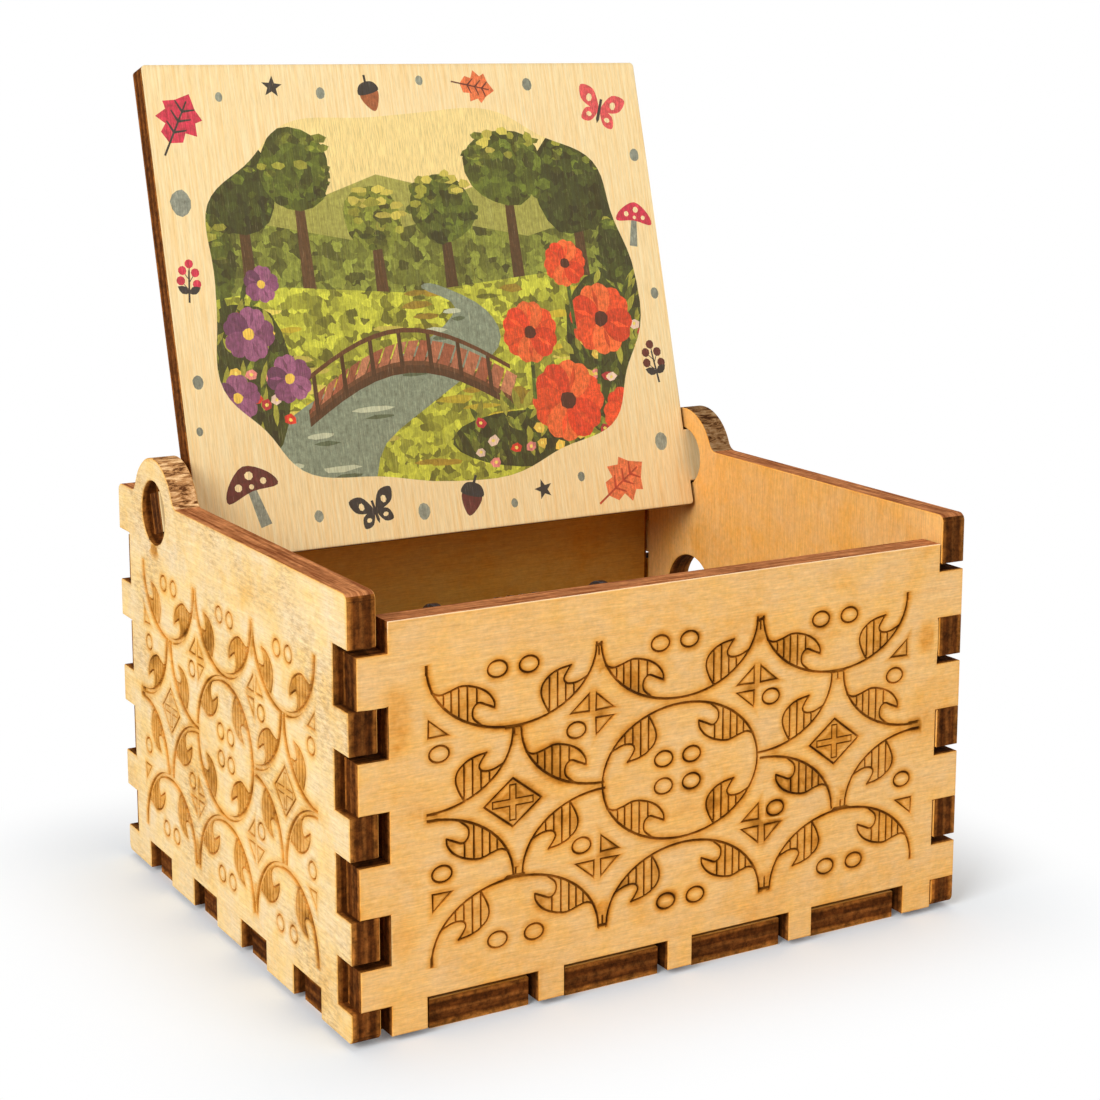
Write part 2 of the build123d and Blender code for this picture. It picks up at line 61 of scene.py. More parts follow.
camera_data = bpy.data.cameras.new("camera")
camera_data.lens = 73.59
camera_data.sensor_width = 36
camera_data.shift_y = -0.10
camera_data.clip_start = 0.01
camera_data.clip_end = 20
camera = linked("camera", camera_data)
camera_right = Vector((0.865118, -0.501567, 0.000817))
camera_down = Vector((-0.086830, -0.151371, -0.984656))
camera_ahead = Vector((0.493995, 0.851773, -0.174505))
camera_turn = Matrix((camera_right, -camera_down, -camera_ahead)).transposed()
camera.matrix_world = Matrix.Translation((-0.117875, -0.207996, 0.092273)) @ camera_turn.to_4x4()
scene.camera = camera


class Nodes:
    """Builds a node tree: each method adds one node and gives the output that is used."""

    def __init__(self, tree, output=None):
        self.tree = tree
        if output:
            tree.nodes.clear()
            self.output = tree.nodes.new(output)

    def node(self, kind, inputs=None, **settings):
        made = self.tree.nodes.new(kind if "Node" in kind else "ShaderNode" + kind)
        for setting, value in settings.items():
            setattr(made, setting, value)
        for socket, value in (inputs or {}).items():
            if isinstance(value, bpy.types.NodeSocket):
                self.tree.links.new(value, made.inputs[socket])
            else:
                made.inputs[socket].default_value = value
        return made

    def finish(self, shader):
        self.tree.links.new(shader, self.output.inputs[0])

    def surface(self, **inputs):
        self.finish(self.node("BsdfPrincipled",
                              {name.replace("_", " "): value for name, value in inputs.items()}).outputs[0])

    def math(self, operation, *values, clamp=False):
        return self.node("Math", dict(enumerate(values)), operation=operation, use_clamp=clamp).outputs[0]

    def times(self, *values, clamp=False):
        return self.math("MULTIPLY", *values, clamp=clamp)

    def vector(self, operation, *values, output=0):
        return self.node("VectorMath", dict(enumerate(values)), operation=operation).outputs[output]

    def scaled(self, vector, factor):
        return self.node("VectorMath", {0: vector, "Scale": factor}, operation="SCALE").outputs[0]

    def stretched(self, place, scale):
        return self.node("Mapping", {"Vector": place, "Scale": scale}).outputs[0]

    def noise(self, place, scale, detail=2.0, roughness=0.5, distortion=0.0, output="Fac"):
        sizes = {"Scale": scale, "Detail": detail, "Roughness": roughness, "Distortion": distortion}
        return self.node("TexNoise", {"Vector": place, **sizes}).outputs[output]

    def ranged(self, value, low=0.0, high=1.0, to_low=0.0, to_high=1.0, **settings):
        ends = {"From Min": low, "From Max": high, "To Min": to_low, "To Max": to_high}
        return self.node("MapRange", {"Value": value, **ends}, **settings).outputs[0]

    def ramp(self, value, *stops):
        made = self.node("ValToRGB", {"Fac": value})
        ends = made.color_ramp.elements
        for end, (position, colour) in zip((ends[0], ends[1]), (stops[0], stops[-1])):
            end.position, end.color = position, (*colour, 1)
        for position, colour in stops[1:-1]:
            ends.new(position).color = (*colour, 1)
        return made.outputs[0]

    def mixed(self, share, first, second, **settings):
        return self.node("Mix", {"Factor": share, 6: first, 7: second}, data_type="RGBA", **settings).outputs[2]

    def mixed_value(self, share, first, second):
        return self.node("Mix", {"Factor": share, 2: first, 3: second}, data_type="FLOAT").outputs[0]

    def bump(self, height, strength, distance):
        return self.node("Bump", {"Strength": strength, "Distance": distance, "Height": height}).outputs[0]

    def attribute(self, name, output="Fac"):
        return self.node("Attribute", attribute_name=name).outputs[output]

    def object_place(self, scale=1.0):
        place = self.node("TexCoord").outputs["Object"]
        return place if scale == 1.0 else self.scaled(place, scale)


def new_material(name):
    """An empty node material and the maker of its nodes."""
    material = bpy.data.materials.new(name)
    material.use_nodes = True
    return material, Nodes(material.node_tree, "ShaderNodeOutputMaterial")


paper_size = 3.0
paper_white = (0.75, 0.79, 0.83, 1)
paper_glow = 0.10
sky_strength = 0.38
box_reach = (0.036, 0.030, 0)
fade_width = 0.024
lamps_aim = Vector((0, 0, 0.04))
paper, mat = new_material("white_paper")
place = mat.object_place()
beside = mat.vector("ABSOLUTE", place)
beside = mat.vector("SUBTRACT", beside, box_reach)
beside = mat.vector("MAXIMUM", beside, (0, 0, 0))
beside = mat.vector("LENGTH", beside, output="Value")
far = mat.ranged(beside, 0.0, fade_width, interpolation_type="SMOOTHSTEP")
rays = mat.node("LightPath").outputs
seen = mat.math("MAXIMUM", rays["Is Camera Ray"], rays["Is Glossy Ray"])
seen = mat.math("MAXIMUM", seen, rays["Is Transmission Ray"])
fade = mat.times(far, seen)
fibre = mat.noise(place, 900.0, 4.0)
paper_bump = mat.bump(fibre, 0.04, 0.0001)
lit_paper = mat.node("BsdfDiffuse", {"Color": paper_white, "Normal": paper_bump}).outputs[0]
glow = mat.times(seen, paper_glow)
glow_paper = mat.node("Emission", {"Color": (1, 1, 1, 1), "Strength": glow}).outputs[0]
near_paper = mat.node("AddShader", {0: lit_paper, 1: glow_paper}).outputs[0]
far_paper = mat.node("Emission", {"Color": (1, 1, 1, 1), "Strength": 1.0}).outputs[0]
mat.finish(mat.node("MixShader", {0: fade, 1: near_paper, 2: far_paper}).outputs[0])

sheet = bpy.data.meshes.new("paper_sheet")
half = paper_size / 2
sheet.from_pydata([(-half, -half, 0), (half, -half, 0), (half, half, 0), (-half, half, 0)], [], [(0, 1, 2, 3)])
sheet.materials.append(paper)
floor = linked("paper_sheet", sheet)

world = bpy.data.worlds.new("studio")
scene.world = world
world.use_nodes = True
sky = Nodes(world.node_tree, "ShaderNodeOutputWorld")
rays = sky.node("LightPath").outputs
seen = sky.math("MAXIMUM", rays["Is Camera Ray"], rays["Is Transmission Ray"])
sky_light = sky.node("Background", {"Color": (1, 1, 1, 1), "Strength": sky_strength}).outputs[0]
sky_white = sky.node("Background", {"Color": (1, 1, 1, 1), "Strength": 1.0}).outputs[0]
sky.finish(sky.node("MixShader", {0: seen, 1: sky_light, 2: sky_white}).outputs[0])

for name, spot, size, power, colour in (
    ("key_lamp", (-0.72, -0.34, 0.48), 0.45, 6.65, (1.0, 0.985, 0.96)),
    ("fill_lamp", (0.30, -0.70, 0.35), 0.50, 1.55, (1.0, 0.99, 0.98)),
    ("top_lamp", (0.05, 0.10, 0.75), 0.50, 1.3, (1.0, 1.0, 1.0)),
):
    lamp_data = bpy.data.lights.new(name, "AREA")
    lamp_data.size = size
    lamp_data.energy = power
    lamp_data.color = colour
    lamp = linked(name, lamp_data)
    lamp.location = spot
    lamp.rotation_euler = (Vector(spot) - lamps_aim).to_track_quat("Z", "Y").to_euler()


# ---------------------------------------------------------------------------
# The front wall: 3 mm birch plywood, cut out by laser with finger joints, and
# engraved by the same laser with a tracery of arcs and leaves. The beam
# leaves the cut edges burnt brown, and scorches the wood beside each line.

ply_thickness = 3.0
edge_round = 0.10
scorch_width = 0.45
line_half_width = 0.13
line_slope = 0.06
line_depth = 0.24
line_halo = 0.60
ribbon_edge = 0.10
wall_top = 39.5
lug_foot = 43.05
half_wide, half_deep, foot_level = 0.03575, 0.030, 0.0006
same_spot = 2e-6
far_off = 9.0
mitre_limit = 0.35
line_reach = 2
end_reach = 0.6
# the last of these paints the front wall's top rim pale: a painted highlight
rim_burn, shoulder_burn, line_burn, halo_burn, ribbon_bleach, top_rim_highlight = 0.40, 0.10, 0.42, 0.42, 0.30, -0.8


def polygons_of(name, origin, along, up):
    """The outlines, in mm on the board, of the outer face of a board of the CAD frame, wood on their left."""
    out = along.cross(up)
    board = bmesh.new()
    board.from_mesh(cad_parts[name].data)
    bmesh.ops.remove_doubles(board, verts=board.verts, dist=same_spot)
    face_set = {face for face in board.faces if face.normal.dot(out) > 0.999}
    following = {}
    for face in face_set:
        for corner in face.loops:
            if any(other not in face_set for other in corner.edge.link_faces):
                following[corner.vert] = corner.link_loop_next.vert
    outlines = []
    while following:
        start = vertex = next(iter(following))
        outline = []
        while vertex in following:
            offset = (vertex.co - origin) * 1000
            outline.append((offset.dot(along), offset.dot(up)))
            vertex = following.pop(vertex)
        outlines.append(straightened(outline))
    board.free()
    return outlines


def straightened(outline):
    """An outline without the points that lie on its straight runs."""
    kept = []
    for index, point in enumerate(outline):
        before = Vector(point) - Vector(outline[index - 1])
        after = Vector(outline[(index + 1) % len(outline)]) - Vector(point)
        if abs(before.normalized().cross(after.normalized())) > 1e-3:
            kept.append(point)
    return kept


def moved_in(outline, distance):
    """An outline moved to its left by a distance, with mitred corners."""
    count = len(outline)
    moved = []
    for index in range(count):
        point = Vector(outline[index])
        before = (point - Vector(outline[index - 1])).normalized()
        after = (Vector(outline[(index + 1) % count]) - point).normalized()
        left_before = Vector((-before.y, before.x))
        left_after = Vector((-after.y, after.x))
        mitre = left_before + left_after
        mitre = mitre / max(mitre.dot(left_before), mitre_limit)
        moved.append(tuple(point + mitre * distance))
    return moved


def inside_of(points, outlines):
    """Which of the points lie within the outlines and outside their holes."""
    inside = np.zeros(len(points), bool)
    for outline in outlines:
        ring = np.array(outline)
        following = np.roll(ring, -1, axis=0)
        for (x0, y0), (x1, y1) in zip(ring, following):
            if y0 == y1:
                continue
            crosses = (points[:, 1] > min(y0, y1)) & (points[:, 1] <= max(y0, y1))
            x_there = x0 + (points[:, 1] - y0) * (x1 - x0) / (y1 - y0)
            inside ^= crosses & (points[:, 0] < x_there)
    return inside


def line_outlines(points, closed, offset):
    """The outline, or for a closed line the two outlines, at an offset from an engraved line."""
    if closed:
        return [moved_in(points, offset), moved_in(points, -offset)]
    sides = []
    for direction in (points, points[::-1]):
        direction = [Vector(point) for point in direction]
        for index, point in enumerate(direction):
            before = (point - direction[max(index - 1, 0)]).normalized()
            after = (direction[min(index + 1, len(direction) - 1)] - point).normalized()
            run = (before + after).normalized()
            reach = 0.0
            if index == 0:
                reach = -end_reach * offset
            if index == len(direction) - 1:
                reach = end_reach * offset
            sides.append(tuple(point + Vector((run.y, -run.x)) * offset + run * reach))
    return [sides]


def distance_to(points, lines):
    """The distance of every point from the nearest engraved line, less what that line is wider than the others."""
    nearest = np.full(len(points), far_off)
    for line, closed, wider in lines:
        ring = np.array(line + line[:1] if closed else line)
        for start, end in zip(ring[:-1], ring[1:]):
            run = end - start
            low_corner, high_corner = np.minimum(start, end) - line_reach, np.maximum(start, end) + line_reach
            near = ((points > low_corner) & (points < high_corner)).all(1)
            if not near.any():
                continue
            offset = points[near] - start
            share = np.clip(offset @ run / max(run @ run, 1e-9), 0, 1)
            gap = np.hypot(*(offset - share[:, None] * run).T) - wider
            nearest[near] = np.minimum(nearest[near], gap)
    return nearest


def board_face(outlines, lines, fills, printed, heat=1.0, marks=()):
    """The flat face of a board with its engraving, marks and print outlines: points, depths, scorch, triangles."""
    points, edges = [], []

    def add_ring(ring):
        first = len(points)
        points.extend(ring)
        edges.extend((first + i, first + (i + 1) % len(ring)) for i in range(len(ring)))

    for outline in outlines:
        add_ring(outline)
    rim = len(points)
    for outline in outlines:
        add_ring(moved_in(outline, edge_round))
    shoulder = len(points)
    for outline in outlines:
        add_ring(moved_in(outline, scorch_width))
    for line, closed, wider in lines:
        offsets = (line_slope, line_half_width, line_half_width + line_halo)
        for offset in offsets + ((-ribbon_edge,) if wider > 1.5 * ribbon_edge else ()):
            for ring in line_outlines(line, closed, offset + wider):
                add_ring(ring)
    for ring, _, _ in printed:
        add_ring(ring)
    for ring, _, soft in marks:
        add_ring(moved_in(ring, 0.05))
        add_ring(moved_in(ring, -soft))
    flat, _, faces, sources, _, _ = delaunay_2d_cdt([Vector(p) for p in points], edges, [], 0, 1e-5, True)
    flat = np.array([tuple(p) for p in flat])
    faces = np.array(faces)
    faces = faces[inside_of(flat[faces].mean(1), outlines)]
    gap = distance_to(flat, lines)
    cut = np.clip((line_half_width - gap) / (line_half_width - line_slope), 0, 1)
    depth = line_depth * cut
    burn = line_burn * cut + halo_burn * np.clip(1 - (gap - line_half_width) / line_halo, 0, 1)
    burn = heat * burn - ribbon_bleach * np.clip(-gap / ribbon_edge, 0, 1)
    for ring, amount in list(fills) + [mark[:2] for mark in marks]:
        filled = inside_of(flat, [ring])
        burn[filled] = np.maximum(burn[filled], amount)
    for index, source in enumerate(sources):
        if source and min(source) < rim:
            depth[index] = edge_round
            burn[index] = rim_burn
        elif source and min(source) < shoulder:
            burn[index] = max(burn[index], shoulder_burn)
    return flat, depth, burn, faces


def ink_on(flat, faces, printed):
    """The colour printed on every triangle; the fourth value is how much of the wood the ink covers."""
    middles = flat[faces].mean(1)
    inks = np.zeros((len(faces), 4))
    for ring, colour, within in printed:
        low_corner, high_corner = np.min(ring, axis=0), np.max(ring, axis=0)
        near = np.flatnonzero(((middles > low_corner) & (middles < high_corner)).all(1))
        hit = near[inside_of(middles[near], [ring])]
        if within:
            hit = hit[inside_of(middles[hit], [within])]
        inks[hit] = colour
    return inks


def make_board(name, origin, along, up, seed, lines=(), fills=(), body="case", printed=(), grain_up=False,
               inner=(1, 1, 1), outer=(1, 1, 1), wear=0.25, crossed=0.0, heat=1.0, marks=(), seams=()):
    """A plywood board in the shape of its CAD node, with rounded rims, an engraved face and burnt edges."""
    out = along.cross(up)
    outlines = polygons_of(name, origin, along, up)
    chance = random.Random(seed)
    corners, triangles, burns, finish, char, inks, painted_light_and_shade, wears, turns = [], [], [], [], [], [], [], [], []
    for side in (0, 1):
        on_face = ((), (), ()) if side else (lines, fills, printed)
        flat, depth, burn, faces = board_face(outlines, *on_face, heat, seams if side else marks)
        inks.extend(ink_on(flat, faces, on_face[2]))
        # inner and outer tint the veneer faces with painted light and shade: darker inside the box, paler on the side
        # walls' outer faces and on the right wall's inner face
        painted_light_and_shade.extend([(*(inner if side else outer), 1)] * len(faces))
        wears.extend([0.1 if side else wear] * len(faces))
        turns.extend([crossed if side else 0.0] * len(faces))
        if name == "front_wall" and not side:  # a painted highlight: the front wall's top rim is painted pale
            pale_and_highlit = (flat[:, 1] > max(flat[:, 1]) - 0.01) & (depth > 0)
            burn[pale_and_highlit] = top_rim_highlight
        first = len(corners)
        level = depth if side == 0 else ply_thickness - depth
        corners.extend((x, y, z) for (x, y), z in zip(flat, level))
        burns.extend(burn)
        for face in faces:
            face = face if side == 0 else face[::-1]
            triangles.append([first + int(i) for i in face])
            finish.append(2 if printed and not side else 0)
            char.append(0.0)
    widest = max(np.ptp(np.array(outline)[:, 0]) for outline in outlines)
    for outline in outlines:
        count = len(outline)
        first = len(corners)
        outline_is_outer = np.ptp(np.array(outline)[:, 0]) == widest
        for z in (edge_round, ply_thickness - edge_round):
            corners.extend((x, y, z) for x, y in outline)
            burns.extend([rim_burn] * count)
        for i in range(count):
            j = (i + 1) % count
            triangles.append([first + j, first + i, first + count + i, first + count + j])
            finish.append(1)
            (x0, y0), (x1, y1) = outline[i], outline[j]
            # from 1 up an edge is a top edge painted lighter and redder, a painted light from above; from 2 up the
            # left lug's rim and from 3 up the right lug's
            toasted = chance.random()
            faces_up = (x0 - x1) * up.z > 0.7 * math.dist(outline[i], outline[j])
            if outline_is_outer and faces_up and max(y0, y1) > wall_top:
                toasted += 1.0
            if outline_is_outer and min(y0, y1) > lug_foot and name in ("left_wall", "right_wall"):
                toasted = (2.0 if name == "left_wall" else 3.0) + 0.9 * chance.random()
            char.append(toasted)
            inks.append((0, 0, 0, 0))
            painted_light_and_shade.append((1, 1, 1, 1))
            wears.append(0.0)
            turns.append(0.0)
    mesh = bpy.data.meshes.new(name + "_ply")
    grid = np.array(corners)
    space = Matrix((along, up, -out)).transposed()
    placed = (np.array(space) @ grid.T).T * 0.001 + np.array(origin)
    mesh.from_pydata([tuple(p) for p in placed], [], triangles)

    def add_layer(label, kind, domain, channel, values):
        layer = mesh.attributes.new(label, kind, domain)
        layer.data.foreach_set(channel, np.array(values, np.float32).ravel())

    mesh.materials.append(veneer)
    mesh.materials.append(burnt_edge)
    if printed:
        mesh.materials.append(printed_veneer)
        add_layer("ink", "FLOAT_COLOR", "FACE", "color", inks)
    mesh.polygons.foreach_set("material_index", finish)
    shifted = grid + np.array((seed * 97.0, seed * 41.0, 0))
    if grain_up:
        shifted = shifted[:, (1, 0, 2)]
    add_layer("board_place", "FLOAT_VECTOR", "POINT", "vector", shifted)
    add_layer("burn", "FLOAT", "POINT", "value", burns)
    add_layer("shade", "FLOAT_COLOR", "FACE", "color", painted_light_and_shade)
    for label, values in (("char", char), ("wear", wears), ("crossed", turns)):
        add_layer(label, "FLOAT", "FACE", "value", values)
    joined = bmesh.new()
    joined.from_mesh(mesh)
    bmesh.ops.remove_doubles(joined, verts=joined.verts, dist=2e-7)
    joined.to_mesh(mesh)
    joined.free()
    mesh.validate()
    mesh.shade_flat()
    board = linked(name + "_ply", mesh)
    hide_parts(name)
    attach(board, body)
    return board


veneer, mat = new_material("birch_veneer")
place = mat.attribute("board_place", "Vector")
burn = mat.attribute("burn")
face_light_and_shade = mat.attribute("shade", "Color")
wear = mat.attribute("wear")
crossed = mat.attribute("crossed")
across = mat.node("SeparateXYZ", {0: place}).outputs
across = mat.node("CombineXYZ", {0: across[1], 1: across[0], 2: across[2]}).outputs[0]
grain = mat.node("Mix", {"Factor": crossed, 4: place, 5: across}, data_type="VECTOR").outputs[1]
stretch = mat.stretched(grain, (0.06, 0.9, 0.3))
bands = mat.noise(stretch, 2.4, 6.0, 0.62, 0.5)
fine = mat.stretched(grain, (0.55, 6.0, 1.0))
pores = mat.noise(fine, 1.0, 4.0, 0.7)
blotch = mat.noise(place, 0.22, 5.0, 0.62)
speck = mat.noise(place, 1.7, 4.0, 0.7)
tone = mat.ramp(bands, (0.3, (0.84, 0.455, 0.14)), (0.7, (0.93, 0.56, 0.195)))
blush = mat.ramp(blotch, (0.34, (1.0, 0.94, 0.76)), (0.66, (0.96, 1.0, 1.22)))
shade = mat.ranged(pores, 0.33, 0.6, 0.84, 1.03)
shade_speck = mat.ranged(speck, 0.3, 0.7, 0.9, 1.07)
shade = mat.times(shade, shade_speck)
shaded = mat.vector("MULTIPLY", tone, blush)
toasty = mat.times(burn, 1.1, clamp=True)
# the face tint is painted light and shade, faded out where the wood is burnt
face_light_and_shade = mat.mixed(toasty, face_light_and_shade, (1, 1, 1, 1))
shaded = mat.vector("MULTIPLY", shaded, face_light_and_shade)
shaded = mat.scaled(shaded, shade)
# burn below zero paints the wood pale: the bleached floor of wide ribbons, and a painted highlight on the front
# wall's top rim
pale_and_highlit = mat.times(burn, -1.0, clamp=True)
shaded = mat.mixed(pale_and_highlit, shaded, (0.98, 0.8, 0.55, 1))
flicker = mat.noise(place, 0.5, 4.0, 0.6)
flicker = mat.ranged(flicker, 0.3, 0.7, 0.72, 1.22)
drift = mat.noise(place, 0.13, 2.0)
drift = mat.ranged(drift, 0.35, 0.65, 0.8, 1.15)
flicker = mat.times(flicker, drift)
smoke = mat.noise(place, 0.1, 5.0, 0.72)
smoke = mat.ranged(smoke, 0.5, 0.8, 0.0, 0.34)
heat = mat.math("MULTIPLY_ADD", burn, flicker, smoke, clamp=True)
scorch = mat.ramp(heat, (0.0, (1.0, 1.0, 1.0)), (0.10, (0.99, 0.94, 0.82)), (0.24, (0.95, 0.81, 0.55)),
                  (0.38, (0.84, 0.62, 0.29)), (0.50, (0.62, 0.41, 0.14)), (0.66, (0.34, 0.205, 0.055)),
                  (0.84, (0.20, 0.115, 0.022)), (1.0, (0.1, 0.05, 0.012)))
wood = mat.mixed(1.0, shaded, scorch, blend_type="MULTIPLY")
patch = mat.noise(place, 0.075, 3.0, 0.6)
patch = mat.ranged(patch, 0.46, 0.62, 0.05, 1.0)
grime = mat.stretched(grain, (0.7, 2.6, 1.0))
grime = mat.noise(grime, 1.0, 6.0, 0.8)
grime = mat.ranged(grime, 0.45, 0.7, 0.0, 0.95)
grime = mat.times(grime, patch)
grime = mat.times(grime, wear, clamp=True)
wood = mat.mixed(grime, wood, (0.34, 0.165, 0.06, 1))
relief = mat.math("ADD", pores, speck)
grain_bump = mat.bump(relief, 0.22, 8e-05)
gloss = mat.ranged(heat, 0.0, 0.5, 0.25, 0.04)
mat.surface(Base_Color=wood, Roughness=0.66, Normal=grain_bump, Specular_IOR_Level=gloss)

burnt_edge, mat = new_material("burnt_ply_edge")
place = mat.attribute("board_place", "Vector")
char = mat.attribute("char")
depth = mat.node("SeparateXYZ", {0: place}).outputs[2]
wobble = mat.noise(place, 0.5, 3.0)
wobble = mat.ranged(wobble, 0.0, 1.0, -0.25, 0.25)
depth = mat.math("ADD", depth, wobble)
layer = mat.ranged(depth, 0.0, 3.0)
dark, amber = (0.070, 0.019, 0.003), (0.19, 0.062, 0.010)
plies = mat.ramp(layer, (0.0, (0.27, 0.11, 0.022)), (0.15, amber), (0.24, dark), (0.42, (0.095, 0.028, 0.005)),
                 (0.52, (0.13, 0.042, 0.008)), (0.62, dark), (0.80, dark), (0.88, amber), (1.0, amber))
streak = mat.stretched(place, (0.16, 0.16, 2.6))
streak = mat.noise(streak, 1.0, 4.0, 0.6)
grit = mat.noise(place, 1.3, 5.0, 0.7)
soot = mat.ranged(grit, 0.35, 0.65, 0.5, 1.65)
streaks = mat.ranged(streak, 0.35, 0.65, 0.7, 1.4)
soot = mat.times(soot, streaks)
char_shade = mat.ranged(char, 0.0, 1.0, 0.8, 1.25)
soot = mat.times(soot, char_shade)
charred = mat.scaled(plies, soot)
# top edges of the outer walls: a lighter, redder colour, a painted light from above
toast = mat.ramp(streak, (0.36, (0.22, 0.062, 0.018)), (0.66, (0.6, 0.24, 0.088)))
lit_top_grit = mat.ranged(grit, 0.35, 0.65, 0.8, 1.2)
toasted = mat.scaled(toast, lit_top_grit)
lit_top_edge = mat.ranged(char, 1.0, 1.01)
charred = mat.mixed(lit_top_edge, charred, toasted)
cracks = mat.stretched(place, (1.7, 1.7, 0.45))
cracks = mat.noise(cracks, 1.0, 5.0, 0.72, 0.8)
crazed = mat.ramp(cracks, (0.4, (0.11, 0.038, 0.012)), (0.5, (0.52, 0.25, 0.09)), (0.62, (0.86, 0.56, 0.28)))
lug_tone = mat.ranged(char, 2.95, 3.0, 1.0, 0.42)
crazed = mat.scaled(crazed, lug_tone)
on_lug = mat.ranged(char, 1.99, 2.0)
charred = mat.mixed(on_lug, charred, crazed)
edge_relief = mat.math("ADD", streak, grit)
edge_bump = mat.bump(edge_relief, 0.5, 0.00015)
mat.surface(Base_Color=charred, Roughness=0.85, Normal=edge_bump, Specular_IOR_Level=0.04)

X_AXIS, Y_AXIS, Z_AXIS = Vector((1, 0, 0)), Vector((0, 1, 0)), Vector((0, 0, 1))
tracery_middle = (36.5, 20.7)
arc_wide, arc_tall = 9.15, 6.9
circle_wide, circle_tall = 1.05, 0.8
lower_left_leaf = (
    ((-8.6, -2.5), (-7.8, -2.8), (-6.8, -2.6), (-5.5, -2.25), (-4.0, -2.55), (-2.8, -3.2), (-2.1, -4.1),
     (-2.0, -4.8)),
    ((-2.0, -4.8), (-2.9, -4.4), (-3.7, -4.1), (-4.3, -4.6), (-4.3, -5.5), (-3.5, -6.25)),
)
lower_left_veins = ((-7.4, -2.75, None), (-6.6, -2.55, None), (-5.8, -2.35, None), (-4.9, -2.3, None),
                    (-3.9, -2.6, -4.1))
lower_right_leaf = (
    ((3.9, -6.2), (3.3, -5.1), (3.0, -4.1), (3.25, -3.2), (4.1, -2.45), (5.1, -2.05), (6.3, -1.85)),
    ((6.3, -1.85), (5.85, -2.4), (5.5, -3.1), (5.9, -3.6), (7.0, -3.6), (8.2, -3.1)),
)
lower_right_veins = ((3.9, -2.6, None), (4.8, -2.2, None), (5.7, -3.5, None), (6.6, -3.65, None))


def smooth_span(before, start, end, after, steps):
    """Points of a smooth line from start to just short of end, led by its neighbours."""
    span = []
    for step in range(steps):
        t = step / steps
        bend = (2 * before - 5 * start + 4 * end - after) * t * t
        bend += (3 * start - before - 3 * end + after) * t ** 3
        span.append(tuple((2 * start + (end - before) * t + bend) / 2))
    return span


def smooth_run(points, steps=4):
    """A smooth line through points."""
    run = [Vector(point) for point in points]
    run = [run[0] * 2 - run[1]] + run + [run[-1] * 2 - run[-2]]
    smooth = []
    for index in range(1, len(run) - 2):
        smooth += smooth_span(*run[index - 1:index + 3], steps)
    return smooth + [tuple(run[-2])]


def arc_of(middle, wide, tall, start, end, steps):
    """Points of an elliptical arc between two angles in degrees."""
    points = []
    for step in range(steps + 1):
        angle = math.radians(start + (end - start) * step / steps)
        points.append((middle[0] + wide * math.cos(angle), middle[1] + tall * math.sin(angle)))
    return points


def leaf_at(middle, quarter):
    """The lines of a veined leaf that grows inwards from the arc round a middle, and the leaf's outline."""
    left = quarter in ("LL", "UR")
    runs, veins = (lower_left_leaf, lower_left_veins) if left else (lower_right_leaf, lower_right_veins)
    turn = 1 if quarter in ("LL", "LR") else -1
    lines = [smooth_run(run) for run in runs]
    ends = [math.degrees(math.atan2(y / arc_tall, x / arc_wide)) for x, y in (runs[-1][-1], runs[0][0])]
    whole = lines[0] + lines[1] + arc_of((0, 0), arc_wide, arc_tall, *ends, 6)
    for x, top, bottom in veins:
        bottom = bottom or -arc_tall * math.sqrt(1 - (x / arc_wide) ** 2)
        lines.append([(x, top), (x, (top + bottom) / 2), (x, bottom)])
    turned_about = [[(middle[0] + turn * x, middle[1] + turn * y) for x, y in line] for line in lines + [whole]]
    return [(line, False, 0.0) for line in turned_about[:-1]], turned_about[-1]


def smudge(x, y, wide, tall, amount, soft):
    """A scorched patch on a board: its outline, its burn and how far it fades out."""
    return (arc_of((x, y), wide, tall, 0, 345, 23), amount, soft)


def corner_seams(near, far, bottom, top):
    """The dark joints at both ends of a board's inner face."""
    return [([(x, bottom), (x + 0.35, bottom), (x + 0.35, top), (x, top)], 0.85, 0.25) for x in (near, far - 0.35)]


